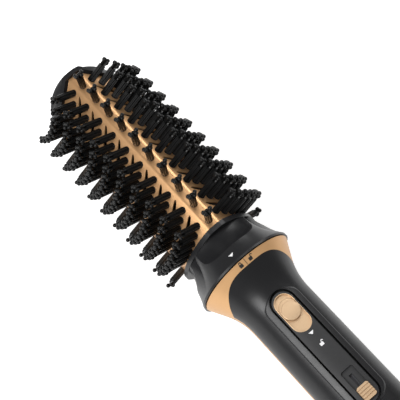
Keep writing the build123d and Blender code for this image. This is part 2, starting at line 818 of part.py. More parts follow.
def switch_slot(z0, z1):
    """Slot that the heat switch's stem slides in, between two heights."""
    reach = SWITCH_STEM_LENGTH / 2 + RUN
    half = SWITCH_STEM_HALF + RUN
    return block(at(-SWITCH_X) - reach, at(-SWITCH_X) + SWITCH_TRAVEL + reach, -half, half, z0, z1)


def switch_well():
    """Shallow well that the heat switch slides in."""
    length = SWITCH_LENGTH + SWITCH_TRAVEL + 2 * WELL_MARGIN
    x_back = at(-SWITCH_X) - SWITCH_LENGTH / 2 - WELL_MARGIN
    outline = RectangleRounded(length, 2 * (SWITCH_HALF + GAP), WELL_CORNER)
    return Pos(x_back + length / 2, 0, SWITCH_FLOOR) * extrude(outline, GRIP_R - SWITCH_FLOOR)


def make_track():
    """Gold dished track of the release button, with the slot of its stem."""
    track = stadium(TRACK_FRONT, TRACK_LENGTH, TRACK_HALF, PANEL_BASE, 2 * GRIP_R)
    track &= rod(at(-TRACK_FRONT - TRACK_LENGTH), at(-TRACK_FRONT), GRIP_R - PANEL_SUNK / 2)
    dish = stadium(TRACK_FRONT + TRACK_LIP, TRACK_LENGTH - 2 * TRACK_LIP, TRACK_HALF - TRACK_LIP,
                   TRACK_FLOOR, 2 * GRIP_R)
    hollow = stadium(TRACK_FRONT + TRACK_WALL, TRACK_LENGTH - 2 * TRACK_WALL, TRACK_HALF - TRACK_WALL,
                     PANEL_BASE, TRACK_FLOOR - TRACK_WALL)
    half = STEM_HALF + RUN
    slot_front = at(-BUTTON_X) + STEM_LENGTH / 2 + RUN
    slot_back = at(-BUTTON_X) - STEM_LENGTH / 2 - RELEASE_TRAVEL - RUN
    slot = block(slot_back, slot_front, -half, half, PANEL_BASE, TRACK_FLOOR)
    return track - dish - hollow - slot


def make_button():
    """Round release button with a low dome and its stem."""
    base = TRACK_FLOOR + FIT
    disc = Pos(0, 0, base) * extrude(Circle(BUTTON_R), BUTTON_TOP - base)
    dome_r = (BUTTON_R**2 + BUTTON_DOME**2) / (2 * BUTTON_DOME)
    dome = Pos(0, 0, BUTTON_TOP - dome_r) * Sphere(dome_r)
    half = STEM_LENGTH / 2
    stem = block(-half, half, -STEM_HALF, STEM_HALF, LATCH_BASE + LATCH_THICK, base + GAP)
    return Pos(at(-BUTTON_X), 0, 0) * ((disc & dome) + stem)


def make_latch():
    """Latch plate under the panel, with the nose that lies in the spigot's notch."""
    shoulder = at(-TAIL_TUBE_END - RELEASE_TRAVEL / 2)
    nose_front = at(-TAIL_TUBE_END + LATCH_NOSE)
    back = at(-LATCH_BACK)
    window_front = at(-BUTTON_X) - STEM_LENGTH / 2 - LATCH_FRAME
    top = LATCH_BASE + LATCH_THICK
    nose = block(shoulder, nose_front, -LATCH_NOSE_HALF, LATCH_NOSE_HALF, LATCH_BASE, top)
    plate = block(back, shoulder, -LATCH_HALF, LATCH_HALF, LATCH_BASE, top)
    window = block(back + LATCH_FRAME, window_front, -LATCH_NOSE_HALF, LATCH_NOSE_HALF, LATCH_BASE, top)
    return nose + plate - window


def make_springs():
    """Return springs between the latch plate and the panel's stop, as plain sleeves."""
    x0 = at(-LATCH_BACK - SPRING_LENGTH)
    x1 = at(-LATCH_BACK)
    z = LATCH_BASE + SPRING_WALL
    one = tube(x0, x1, SPRING_R, SPRING_R - SPRING_WALL)
    return Compound(children=[Pos(0, y, z) * one for y in (-SPRING_Y, SPRING_Y)])


def make_switch():
    """Heat switch knob with grip grooves and its stem."""
    base = SWITCH_FLOOR + FIT
    knob = Pos(0, 0, base) * extrude(RectangleRounded(SWITCH_LENGTH, 2 * SWITCH_HALF, WELL_CORNER),
                                     SWITCH_TOP - base)
    pitch = SWITCH_LENGTH / (SWITCH_GROOVES + 1)
    cuts = []
    for i in range(SWITCH_GROOVES):
        x = (i - (SWITCH_GROOVES - 1) / 2) * pitch
        cuts.append(Pos(x, 0, SWITCH_TOP) * Box(SWITCH_GROOVE, 2 * SWITCH_HALF + GAP, 2 * SWITCH_GROOVE))
    half = SWITCH_STEM_LENGTH / 2
    stem_low = SWITCH_FLOOR - SWITCH_STEM_DEPTH
    stem = block(-half, half, -SWITCH_STEM_HALF, SWITCH_STEM_HALF, stem_low, base + GAP)
    return Pos(at(-SWITCH_X), 0, 0) * (knob + stem - cuts)


def make_switch_body():
    """Slide switch body on the board, with the groove of the knob's stem."""
    top = SWITCH_FLOOR - SWITCH_DECK - GAP
    half = SWITCH_BODY_HALF
    body = block(*switch_body_span(), -half, half, BOARD_BASE + BOARD_THICK, top)
    return body - switch_slot(SWITCH_FLOOR - SWITCH_STEM_DEPTH - RUN, top)


def make_board():
    """Circuit board under the panel."""
    x0 = board_back()
    return block(x0, x0 + BOARD_LENGTH, -BOARD_HALF, BOARD_HALF, BOARD_BASE, BOARD_BASE + BOARD_THICK)


def make_duct():
    """Heat-proof tube round the heater."""
    return tube(at(-DUCT_FRONT - DUCT_LENGTH), at(-DUCT_FRONT), DUCT_R, DUCT_R - DUCT_WALL)


def heater_span():
    """X of the heater frame's rear and front ends, in the middle of the duct."""
    middle = at(-DUCT_FRONT - DUCT_LENGTH / 2)
    return middle - HEATER_LENGTH / 2, middle + HEATER_LENGTH / 2


def make_heater_frame():
    """Crossed mica plates with end bars that rest in the duct."""
    back, front = heater_span()
    half = MICA / 2
    reach = sqrt((DUCT_R - DUCT_WALL)**2 - half**2) - TOUCH
    plates = []
    for turn in (45, 135):
        plates.append(spun(block(back, front, -half, half, -HEATER_R, HEATER_R), turn))
        for x in (back, front - MICA_BAR):
            plates.append(spun(block(x, x + MICA_BAR, -half, half, -reach, reach), turn))
    return plates[0].fuse(*plates[1:])


def make_coil():
    """Heating winding round the mica cross, as a closed sleeve."""
    back, front = heater_span()
    inner = sqrt(HEATER_R**2 + (MICA / 2)**2) + TOUCH
    return tube(back + COIL_SETBACK, front - COIL_SETBACK, inner + COIL_WALL, inner)


def make_thermostat():
    """Thermal cut-out clipped to the rear end of the mica cross."""
    back = heater_span()[0]
    half = THERMOSTAT_HEIGHT / 2
    return block(back - THERMOSTAT_LENGTH, back, -THERMOSTAT_HALF, THERMOSTAT_HALF, -half, half)


def make_ion_module():
    """Ion generator on the back cover's floor, with its needle pointing to the head."""
    floor = -sqrt(SHELL_IN**2 - ION_HALF**2) + TOUCH
    body = block(at(-ION_FRONT - ION_LENGTH), at(-ION_FRONT), -ION_HALF, ION_HALF, floor, -DUCT_R - GAP)
    return body + needle(NEEDLE_R)


def make_shroud():
    """Fan shroud with stator vanes that hold the motor."""
    x0 = at(-SHROUD_FRONT - SHROUD_LENGTH)
    outer = SHELL_IN - TOUCH
    inner = outer - SHROUD_WALL
    shell = tube(x0, at(-SHROUD_FRONT), outer, inner)
    start = x0 + VANE_SETBACK
    half = VANE_THICK / 2
    vane = block(start, start + VANE_LENGTH, -half, half, MOTOR_R, inner + SHROUD_WALL / 2)
    return shell.fuse(*[spun(vane, i * 360 / VANES) for i in range(VANES)])


def motor_front():
    """X of the motor can's front face."""
    return at(-SHROUD_FRONT - SHROUD_LENGTH) + MOTOR_SETBACK + MOTOR_LENGTH


def fan_back():
    """X of the fan hub's rear face."""
    return motor_front() + BEARING_LENGTH + GAP


def make_motor():
    """Motor can with its front bearing boss."""
    x1 = motor_front()
    can = rod(x1 - MOTOR_LENGTH, x1, MOTOR_R)
    can = chamfer(can.edges().filter_by(GeomType.CIRCLE), MOTOR_EDGE)
    boss = rod(x1 - MOTOR_EDGE, x1 + BEARING_LENGTH, BEARING_R)
    bore = rod(x1 - SHAFT_DEPTH - GAP, x1 + BEARING_LENGTH, SHAFT_R + SHAFT_GAP)
    return can + boss - bore


def make_shaft():
    """Motor shaft that the fan is pressed on."""
    return rod(motor_front() - SHAFT_DEPTH, fan_back() + FAN_LENGTH, SHAFT_R)


def make_fan():
    """Axial impeller: hub with a tapered nose and pitched blades."""
    x0 = fan_back()
    x1 = x0 + FAN_LENGTH
    nose = x1 + FAN_NOSE
    hub = lathe((
        (x0, SHAFT_R),
        (x0, FAN_HUB_R),
        (x1, FAN_HUB_R),
        (x1 + 0.7 * FAN_NOSE, 0.7 * FAN_HUB_R),
        (nose, 0.3 * FAN_HUB_R),
        (nose, SHAFT_R),
    ))
    tip = SHELL_IN - TOUCH - SHROUD_WALL - FAN_TIP_GAP
    span = tip - FAN_HUB_R + BLADE_ROOT
    blade = Box(FAN_LENGTH, BLADE_THICK, span).rotate(Axis.Z, FAN_PITCH)
    blade = Pos((x0 + x1) / 2, 0, FAN_HUB_R - BLADE_ROOT + span / 2) * blade
    blade &= rod(x0, x1, tip)
    return hub.fuse(*[spun(blade, i * 360 / FAN_BLADES) for i in range(FAN_BLADES)])


def make_grille():
    """Rear air inlet cap with radial slots and the gland's bore."""
    back = GLAND_REACH
    end_r = GRILLE_R - GRILLE_ROUND
    bend_x = back + GRILLE_ROUND
    bend = radians(45)
    bend_mid = (bend_x - GRILLE_ROUND * sin(bend), end_r + GRILLE_ROUND * cos(bend))
    bore = GLAND_NECK_R + RUN
    skirt_front = COVER_END + GRILLE_SKIRT
    skirt_r = SHELL_IN - RUN
    inner_r = skirt_r - SKIRT_WALL
    ledge = FILTER_BACK - TOUCH
    cap = turned(
        Line((back, bore), (back, end_r)),
        ThreePointArc((back, end_r), bend_mid, (bend_x, GRILLE_R)),
        Line((bend_x, GRILLE_R), (COVER_END, GRILLE_R)),
        Line((COVER_END, GRILLE_R), (COVER_END, skirt_r)),
        Line((COVER_END, skirt_r), (skirt_front, skirt_r)),
        Line((skirt_front, skirt_r), (skirt_front, inner_r)),
        Line((skirt_front, inner_r), (ledge, inner_r)),
        Line((ledge, inner_r), (ledge, end_r)),
        Line((ledge, end_r), (back + GRILLE_WALL, end_r)),
        Line((back + GRILLE_WALL, end_r), (back + GRILLE_WALL, bore)),
        Line((back + GRILLE_WALL, bore), (back, bore)),
    )
    half = GRILLE_SLOT / 2
    slot = block(back, bend_x, -half, half, GRILLE_SLOT_START, end_r - half)
    return cap - [spun(slot, i * 360 / GRILLE_SLOTS) for i in range(GRILLE_SLOTS)]


def make_filter():
    """Dust screen inside the grille."""
    outer = SHELL_IN - SKIRT_WALL - 2 * RUN
    return tube(FILTER_BACK, FILTER_BACK + FILTER_THICK, outer, GLAND_NECK_R + FILTER_THICK)


def make_contact_block():
    """Contact block that feeds the swivelling gland, carried by the rearmost rib."""
    return rod(GLAND_REACH + GLAND_DEPTH + GAP, REAR_RIB + RIB_THICK + CONTACT_OVERHANG, GLAND_NECK_R)


def make_gland():
    """Swivelling cord gland: rounded collar outside the grille, neck and inner flange, with its bore."""
    collar = GLAND_REACH - GAP
    edge = collar - GLAND_EDGE
    shoulder = (edge / 3, (GLAND_MOUTH_R + 2 * GLAND_COLLAR_R) / 3)
    flange_back = GLAND_REACH + GRILLE_WALL + GAP
    flange_front = flange_back + GLAND_FLANGE
    end = GLAND_REACH + GLAND_DEPTH
    tail_r = GLAND_NECK_R - GLAND_STEP
    return turned(
        Line((0, GLAND_BORE_R), (0, GLAND_MOUTH_R)),
        ThreePointArc((0, GLAND_MOUTH_R), shoulder, (edge, GLAND_COLLAR_R)),
        Line((edge, GLAND_COLLAR_R), (collar, GLAND_COLLAR_R)),
        Line((collar, GLAND_COLLAR_R), (collar, GLAND_NECK_R)),
        Line((collar, GLAND_NECK_R), (flange_back, GLAND_NECK_R)),
        Line((flange_back, GLAND_NECK_R), (flange_back, GLAND_COLLAR_R)),
        Line((flange_back, GLAND_COLLAR_R), (flange_front, GLAND_COLLAR_R)),
        Line((flange_front, GLAND_COLLAR_R), (flange_front, tail_r)),
        Line((flange_front, tail_r), (end, tail_r)),
        Line((end, tail_r), (end, GLAND_BORE_R)),
        Line((end, GLAND_BORE_R), (0, GLAND_BORE_R)),
    )


def build():
    """All nodes of the multistyler, by name."""
    shell = make_shell()
    nodes = {
        "barrel": make_barrel(),
        "barrel_core": make_core(),
        "tip_cap": make_tip_cap(),
        "collar": make_collar(),
        "coupling_spigot": make_spigot(),
        "front_cover": make_front_cover(shell),
        "back_cover": make_back_cover(shell),
        "trim_frame": make_trim(shell),
        "cover_screws": make_screws(),
        "socket_ring": make_socket(),
        "control_panel": make_panel(),
        "release_track": make_track(),
        "release_button": make_button(),
        "release_latch": make_latch(),
        "latch_springs": make_springs(),
        "heat_switch": make_switch(),
        "switch_body": make_switch_body(),
        "circuit_board": make_board(),
        "air_duct": make_duct(),
        "heater_frame": make_heater_frame(),
        "heating_coil": make_coil(),
        "thermostat": make_thermostat(),
        "ion_module": make_ion_module(),
        "fan_shroud": make_shroud(),
        "motor": make_motor(),
        "motor_shaft": make_shaft(),
        "fan": make_fan(),
        "rear_grille": make_grille(),
        "filter_screen": make_filter(),
        "contact_block": make_contact_block(),
        "cord_gland": make_gland(),
    }
    face_bristles = make_face_bristles()
    for name, turn in zip(("right", "bottom", "left"), FACE_TURNS):
        nodes["face_bristles_" + name] = spun(face_bristles, turn)
    nodes["face_bristles_bottom"] -= below_rest()
    strip_bristles = make_strip_bristles()
    for name, turn in zip(("top", "right", "left"), STRIP_TURNS):
        nodes["strip_bristles_" + name] = spun(strip_bristles, turn)
    return nodes


if __name__ == "__main__":
    os.makedirs("parts", exist_ok=True)
    for name, shape in build().items():
        export_step(shape, "parts/" + name + ".step")
        print(name, round(shape.volume), "mm3")
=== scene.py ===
"""Looks of a hair multistyler: its finishes, barrel, tufts, release, springs, marks and stage."""

import math
import random

import bpy
from bpy.props import FloatProperty, FloatVectorProperty, IntProperty, PointerProperty
from mathutils import Matrix, Vector


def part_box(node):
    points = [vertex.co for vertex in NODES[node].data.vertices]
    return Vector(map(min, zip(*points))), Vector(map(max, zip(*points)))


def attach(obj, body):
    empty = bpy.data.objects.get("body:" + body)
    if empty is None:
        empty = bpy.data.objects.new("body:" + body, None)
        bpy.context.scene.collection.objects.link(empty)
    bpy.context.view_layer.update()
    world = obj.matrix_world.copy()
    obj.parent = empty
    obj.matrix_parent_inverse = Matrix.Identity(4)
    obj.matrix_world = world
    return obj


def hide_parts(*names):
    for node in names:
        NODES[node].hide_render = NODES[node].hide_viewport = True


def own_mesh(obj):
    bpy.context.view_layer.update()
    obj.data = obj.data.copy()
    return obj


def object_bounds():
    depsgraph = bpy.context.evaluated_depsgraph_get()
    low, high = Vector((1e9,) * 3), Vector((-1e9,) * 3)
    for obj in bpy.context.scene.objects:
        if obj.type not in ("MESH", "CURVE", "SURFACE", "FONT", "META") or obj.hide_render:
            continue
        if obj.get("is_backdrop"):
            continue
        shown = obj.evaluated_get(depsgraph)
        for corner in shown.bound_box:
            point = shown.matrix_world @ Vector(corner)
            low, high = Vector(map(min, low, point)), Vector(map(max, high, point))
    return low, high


bl_info = {
    "name": "Hair Multistyler",
    "version": (1, 0, 0),
    "blender": (4, 5, 0),
    "location": "View3D > Sidebar > Styler",
    "description": "Builds the visible pieces and finishes of a hair multistyler",
    "category": "Object",
}

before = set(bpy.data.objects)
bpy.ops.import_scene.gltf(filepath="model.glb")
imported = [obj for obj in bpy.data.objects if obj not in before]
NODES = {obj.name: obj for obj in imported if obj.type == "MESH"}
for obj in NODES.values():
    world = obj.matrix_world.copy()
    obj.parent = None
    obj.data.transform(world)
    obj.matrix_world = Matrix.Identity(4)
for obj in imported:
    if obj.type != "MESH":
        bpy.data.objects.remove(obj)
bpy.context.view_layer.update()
MM = 0.001
HANDLE = "handle"
RELEASE = "release"

# Front of the gold ring, from which places along the styler are measured
RING_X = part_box("trim_frame")[1].x

# Least upward part of a face's normal that makes it an upper face
UPWARD = 0.9

# Faces and strips of the barrel, in degrees round the axis from the top
FACE_TURNS = {"right": 60, "bottom": 180, "left": 300}
STRIP_TURNS = {"top": 0, "right": 120, "left": 240}
STRIP_TO_FACE = math.radians(60)

# Barrel and its slots
EDGE_STEPS = 6
FACE_STEPS = 40
SLOT_STEPS = 48
SLOT_NARROWING = 0.999
SLOT_TAPER = 10
BARREL_MERGE = 0.02 * MM
BARREL_CREASE = math.radians(20)

# Strands of a tuft
OUTER_STRANDS = 9
INNER_STRANDS = 3
INNER_SHARE = 0.4
SHORTEST_STRAND = 0.96
STRAND_SIDES = 6
TUFT_CREASE = math.radians(50)
FACE_SEED = 3
STRIP_SEED = 5

# Ball pins: places of the balls along and across, and height against the tuft's, in millimetres
FACE_PINS = ((0.2, 1.5, 0.0), (1.5, 0.0, -0.5), (-0.2, -1.6, -0.2), (-1.5, 0.1, -1.2),
             (0.3, 0.2, -2.2))
STRIP_PINS = ((-0.9, 1.9, -0.7), (0.5, 2.0, -1.3), (-0.3, -2.0, 0.0), (-1.0, -1.2, -1.6),
              (0.4, -0.4, -2.4))
PIN_FOOT_SHARE = 0.2
PIN_SIDES = 5
BALL_SEGMENTS = 10
BALL_RINGS = 6

# Eyelet round a tuft's root: a black disc that is the tuft's black root and also painted shade of
# the hole round it
EYELET_SIDES = 16
EYELET_HEIGHT = 1.0 * MM
EYELET_MIDDLE = -0.3 * MM
EYELET_ROUNDING = 0.2 * MM
EYELET_STEPS = 2

# Release, and the floor that closes the slot under it
STADIUM_STEPS = 24
DISC_STEPS = 4
DISC_MERGE = 0.01 * MM
SKIRT_STEPS = 3
SKIRT_INSET = 0.1 * MM
PLATE_CREASE = math.radians(40)
BLIND_FRONT = 4 * MM
BLIND_BACK = 9.2 * MM
BLIND_HALF_WIDTH = 2.2 * MM
BLIND_DEPTH = 1.0 * MM
BLIND_RISE = 0.02 * MM

# Springs behind the latch
COIL_TURNS = 7
COIL_STEPS = 14
COIL_WIRE = 0.22 * MM
COIL_CREASE = math.radians(65)
WIRE_SIDES = 6
WIRE_MERGE = 0.001 * MM

# Outlines of the marks along and across, in millimetres
ARROW = ((0.85, -1.6), (0.85, 1.6), (-0.85, 0))
DIVIDER_STATIONS = (1.7, 1.1, 0.5, 0.0, -0.6, -1.2, -1.7)
DIVIDER_HALF_WIDTH = 0.1
LOCK_BODY = ((-0.95, -0.9), (-0.75, -1.1), (0.55, -1.1), (0.75, -0.9),
             (0.75, 0.9), (0.55, 1.1), (-0.75, 1.1), (-0.95, 0.9))
SHACKLE_OUTER = 0.78
SHACKLE_INNER = 0.38
SHACKLE_CENTRE = 1.15
SHACKLE_FOOT = 0.75
SHACKLE_HEEL = 0.7
SHACKLE_LIFT = 0.45
SHACKLE_SHIFT = -1.1
SHACKLE_STEPS = 8

# Places of the marks: millimetres from the ring's front, and degrees round the axis from the top
COLLAR_ARROW_STATION = 5.35
RING_SIGN_STATION = -2.25
DIVIDER_STATION = -1.95
PANEL_ARROW_STATION = -51.1
PANEL_LOCK_STATION = -58.6
CLOSED_TURN = 9.5
OPEN_TURN = -3.4
DIVIDER_TURN = 3.0
PANEL_TURN = 0

# Rise of the prints over the skin, and how far from the axis the search for the skin starts
MARK_RISE = 0.15 * MM
RAY_START = 100 * MM

# Tip cap: width of its satin rim, and of the change to the matt dome
CAP_RIM = 6 * MM
CAP_BLEND = 2 * MM

# Strip tufts: the brown of their roots, and where it turns black, as distances from the axis
SMOKE = (0.045, 0.028, 0.016)
SMOKE_START = 25 * MM
SMOKE_END = 35 * MM

# Stage, with each light's name, place, target, size and share of the key light's power
FLOOR_SIZE = 4.0
FLOOR_GAP = 0.3 * MM
FLOOR_GLOW = 0.6
LIGHTS = (
    ("key_light", (0.20, 0.75, 0.75), (0.22, 0, 0), 0.5, 1.0),
    ("side_light", (0.48, -0.48, 0.40), (0.28, 0, 0.02), 0.36, 0.18),
    ("top_light", (0.42, -0.15, 0.80), (0.20, 0, 0), 0.30, 0.07),
)


class StylerTufts(bpy.types.PropertyGroup):
    """Measures of the tufts and their rows"""

    rows: IntProperty(name="Rows", description="Tufts along the barrel", default=10, min=2)
    columns: IntProperty(name="Columns", description="Tufts across one face", default=8, min=2)
    pitch: FloatProperty(name="Row pitch", default=12.4 * MM, unit="LENGTH",
                         description="Distance between rows")
    first: FloatProperty(name="First row", default=29.8 * MM, unit="LENGTH",
                         description="First row's distance from the ring")
    spacing: FloatProperty(name="Column spacing", default=4.65 * MM, unit="LENGTH",
                           description="Distance between tufts of a row")
    bend: FloatProperty(name="Row bend", default=32.0 * MM, unit="LENGTH",
                        description="Radius of the arc that a face's row follows")
    lead: FloatProperty(name="Row lead", default=-2.2 * MM, unit="LENGTH",
                        description="Step from a strip tuft to the middle of its row")
    tip_lead: FloatProperty(name="Tip lead", default=-1.0 * MM, unit="LENGTH",
                            description="Further step along the styler of the last row's ends")
    tip_bend: FloatProperty(name="Tip bend", default=3.8 * MM, unit="LENGTH",
                            description="How much deeper the last row bends than the first")
    length: FloatProperty(name="Length", default=16.0 * MM, unit="LENGTH",
                          description="Height of a face tuft over the barrel")
    strip_length: FloatProperty(name="Strip length", default=15.4 * MM, unit="LENGTH",
                                description="Height of a strip tuft over the barrel")
    strand: FloatProperty(name="Strand radius", default=0.55 * MM, unit="LENGTH",
                          description="Radius of one strand")
    bundle: FloatProperty(name="Bundle radius", default=1.6 * MM, unit="LENGTH",
                          description="Radius on which a bundle's outer strands stand")
    body: FloatProperty(name="Bundle height", default=11.2 * MM, unit="LENGTH",
                        description="Height at which a bundle's strands are cut")
    pin: FloatProperty(name="Pin radius", default=0.6 * MM, unit="LENGTH",
                       description="Radius of the longer pins that carry the balls")
    ball: FloatProperty(name="Ball radius", default=1.3 * MM, unit="LENGTH",
                        description="Radius of the ball at a pin's tip")
    # The black eyelet is partly painted shade: it is the tuft's black root and also the shade in
    # the hole round it
    root: FloatProperty(name="Root radius", default=2.2 * MM, unit="LENGTH",
                        description="Radius of the black eyelet round a tuft's root")


class StylerBarrel(bpy.types.PropertyGroup):
    """Measures of the barrel and its slots"""

    corner: FloatProperty(name="Corner", default=25.0 * MM, unit="LENGTH",
                          description="Distance of a corner strip from the axis")
    face: FloatProperty(name="Face", default=20.5 * MM, unit="LENGTH",
                        description="Distance of a face's crown from the axis")
    strip: FloatProperty(name="Strip width", default=6.0 * MM, unit="LENGTH",
                         description="Width of a corner strip")
    rounding: FloatProperty(name="Rounding", default=4.0 * MM, unit="LENGTH",
                            description="Radius of the rounding along a strip's edges")
    wall: FloatProperty(name="Wall", default=0.7 * MM, unit="LENGTH",
                        description="Thickness of the barrel's metal")
    back: FloatProperty(name="Back", default=22.4 * MM, unit="LENGTH",
                        description="Distance of the barrel's back end from the ring")
    reach: FloatProperty(name="Barrel length", default=128.0 * MM, unit="LENGTH",
                         description="Length of the barrel")
    slot_length: FloatProperty(name="Slot length", default=35.2 * MM, unit="LENGTH",
                               description="Length of an air slot across its face")
    slot_width: FloatProperty(name="Slot width", default=2.6 * MM, unit="LENGTH",
                              description="Width of an air slot at its middle")


class StylerRelease(bpy.types.PropertyGroup):
    """Measures of the release"""

    centre: FloatProperty(name="Centre", default=35.4 * MM, unit="LENGTH",
                          description="Distance of the disc's centre behind the ring")
    radius: FloatProperty(name="Radius", default=5.2 * MM, unit="LENGTH",
                          description="Radius of the disc")
    floor: FloatProperty(name="Dish floor", default=17.9 * MM, unit="LENGTH",
                         description="Height of the dish's floor over the axis")
    gap: FloatProperty(name="Gap", default=0.12 * MM, unit="LENGTH",
                       description="Gap between the disc and the floor")
    top: FloatProperty(name="Top", default=20.0 * MM, unit="LENGTH",
                       description="Height of the disc over the axis")
    rounding: FloatProperty(name="Rounding", default=0.35 * MM, unit="LENGTH",
                            description="Rounding of the upper edges")
    skirt: FloatProperty(name="Skirt", default=2.0 * MM, unit="LENGTH",
                         description="How far the lower skirt shows at the head's side")
    skirt_height: FloatProperty(name="Skirt height", default=1.0 * MM, unit="LENGTH",
                                description="Height of the skirt over the floor")


class StylerFinishes(bpy.types.PropertyGroup):
    """Colours of the pieces that show"""

    coating: FloatVectorProperty(name="Barrel coating", description="Gold of the barrel",
                                 subtype="COLOR", size=3, min=0, max=1,
                                 default=(0.60, 0.345, 0.165))
    trim: FloatVectorProperty(name="Trim", description="Gold of the ring and the side lines",
                              subtype="COLOR", size=3, min=0, max=1,
                              default=(0.66, 0.385, 0.18))
    button: FloatVectorProperty(name="Button", description="Gold of the release and its dish",
                                subtype="COLOR", size=3, min=0, max=1,
                                default=(0.66, 0.46, 0.28))
    housing: FloatVectorProperty(name="Housing", description="Black of the housing",
                                 subtype="COLOR", size=3, min=0, max=1,
                                 default=(0.012, 0.012, 0.013))
    bristle: FloatVectorProperty(name="Bristles", description="Black of the bristles",
                                 subtype="COLOR", size=3, min=0, max=1,
                                 default=(0.006, 0.006, 0.006))


class StylerStage(bpy.types.PropertyGroup):
    """Camera and strength of the light"""

    lens: FloatProperty(name="Lens", description="Focal length of the camera in millimetres",
                        default=86.5)
    camera: FloatVectorProperty(name="Camera place", description="Where the camera stands",
                                subtype="XYZ", unit="LENGTH", size=3,
                                default=(0.0650, 0.0939, 0.5042))
    turn: FloatVectorProperty(name="Camera turn", description="Turns of the camera in degrees",
                              subtype="XYZ", size=3, default=(22.385, 4.756, -130.368))
    world: FloatProperty(name="Fill light", description="Strength of the even light all round",
                         default=0.30)
    key: FloatProperty(name="Key light", description="Power of the large soft light in watts",
                       default=10.0)


def clear_selection():
    """Deselects everything, so that an operator acts only on what is made next."""
    bpy.ops.object.select_all(action="DESELECT")


def pick(*objects):
    """Selects these objects alone and makes the first active."""
    clear_selection()
    for one in objects:
        one.select_set(True)
    bpy.context.view_layer.objects.active = objects[0]


def join(objects, name):
    """Joins objects into one and names it."""
    pick(*objects)
    if len(objects) > 1:
        bpy.ops.object.join()
    made = bpy.context.view_layer.objects.active
    made.name = name
    made.data.name = name
    return made


def settle(piece):
    """Moves a piece's place into its mesh, so that its object sits at the origin."""
    pick(piece)
    bpy.ops.object.transform_apply(location=True, rotation=True, scale=True)


def copy_of(thing, matrix):
    """Copy of an object with its own mesh, put in place by a matrix."""
    twin = thing.copy()
    twin.data = thing.data.copy()
    bpy.context.scene.collection.objects.link(twin)
    twin.matrix_world = matrix
    return twin


def dress(thing, material):
    """Gives an object one material."""
    thing.data.materials.clear()
    thing.data.materials.append(material)


def open_mesh(piece):
    """Opens a piece in edit mode with its whole mesh selected."""
    pick(piece)
    bpy.ops.object.mode_set(mode="EDIT")
    bpy.ops.mesh.select_all(action="SELECT")


def close_mesh():
    """Turns the open mesh's faces outward and leaves edit mode."""
    bpy.ops.mesh.select_all(action="SELECT")
    bpy.ops.mesh.normals_make_consistent(inside=False)
    bpy.ops.object.mode_set(mode="OBJECT")


def draw_out(piece, step):
    """Extrudes a whole mesh by a step."""
    open_mesh(piece)
    bpy.ops.mesh.extrude_region_move(TRANSFORM_OT_translate={"value": step})
    close_mesh()


def clean_mesh(piece, near):
    """Merges corners that lie within a small distance and drops faces without area."""
    open_mesh(piece)
    bpy.ops.mesh.remove_doubles(threshold=near)
    bpy.ops.mesh.select_all(action="SELECT")
    bpy.ops.mesh.dissolve_degenerate(threshold=near)
    bpy.ops.object.mode_set(mode="OBJECT")


def smooth(piece, crease):
    """Shades a piece smooth, apart from the edges that are sharper than a crease."""
    pick(piece)
    bpy.ops.object.shade_smooth_by_angle(angle=crease)


def round_edges(piece, offset, steps, above, crease):
    """Rounds the edges of a piece's upper faces, those over a height in its own frame."""
    pick(piece)
    bpy.ops.object.mode_set(mode="EDIT")
    bpy.ops.mesh.select_all(action="DESELECT")
    bpy.ops.object.mode_set(mode="OBJECT")
    for face in piece.data.polygons:
        face.select = face.normal.z > UPWARD and face.center.z > above
    bpy.ops.object.mode_set(mode="EDIT")
    bpy.ops.mesh.bevel(offset=offset, segments=steps, affect="EDGES")
    bpy.ops.object.mode_set(mode="OBJECT")
    smooth(piece, crease)


def raised(name, outline, low, high):
    """Plate of an outline in X and Y that stands between two heights."""
    bpy.ops.mesh.primitive_circle_add(vertices=len(outline), fill_type="NGON")
    made = bpy.context.object
    made.name = name
    for vertex, (x, y) in zip(made.data.vertices, outline):
        vertex.co = (x, y, low)
    draw_out(made, (0, 0, high - low))
    return made


def new_material(name):
    """Node material with its shader; returns the material, its node tree and the shader."""
    material = bpy.data.materials.new(name)
    material.use_nodes = True
    tree = material.node_tree
    return material, tree, tree.nodes["Principled BSDF"]


def texture_place(tree, scale=(1, 1, 1), shift=(0, 0, 0)):
    """Object coordinates through a mapping with a scale and a shift on each axis."""
    coordinates = tree.nodes.new("ShaderNodeTexCoord")
    mapping = tree.nodes.new("ShaderNodeMapping")
    mapping.inputs["Location"].default_value = shift
    mapping.inputs["Scale"].default_value = scale
    tree.links.new(coordinates.outputs["Object"], mapping.inputs["Vector"])
    return mapping.outputs["Vector"]


def noise(tree, place, scale, detail=2.0):
    """Noise texture over a place."""
    texture = tree.nodes.new("ShaderNodeTexNoise")
    texture.inputs["Scale"].default_value = scale
    texture.inputs["Detail"].default_value = detail
    tree.links.new(place, texture.inputs["Vector"])
    return texture.outputs["Fac"]


def spread(tree, value, low, high, start=0.0, end=1.0):
    """Maps a value between a start and an end to a range from low to high."""
    remap = tree.nodes.new("ShaderNodeMapRange")
    remap.inputs["From Min"].default_value = start
    remap.inputs["From Max"].default_value = end
    remap.inputs["To Min"].default_value = low
    remap.inputs["To Max"].default_value = high
    tree.links.new(value, remap.inputs["Value"])
    return remap.outputs["Result"]


def tint(tree, value, dark, light):
    """Colour between two colours by a value."""
    ramp = tree.nodes.new("ShaderNodeValToRGB")
    ramp.color_ramp.elements[0].color = (*dark, 1)
    ramp.color_ramp.elements[1].color = (*light, 1)
    tree.links.new(value, ramp.inputs["Fac"])
    return ramp.outputs["Color"]


def shade_of(colour, factor):
    """A colour made darker or lighter."""
    return tuple(min(1.0, part * factor) for part in colour)


def vary_colour(tree, shader, value, colour, dark, light):
    """Base colour that a value turns from a darker to a lighter shade."""
    tree.links.new(tint(tree, value, shade_of(colour, dark), shade_of(colour, light)),
                   shader.inputs["Base Color"])


def vary_gloss(tree, shader, value, low, high):
    """Roughness that a value turns from low to high."""
    tree.links.new(spread(tree, value, low, high), shader.inputs["Roughness"])


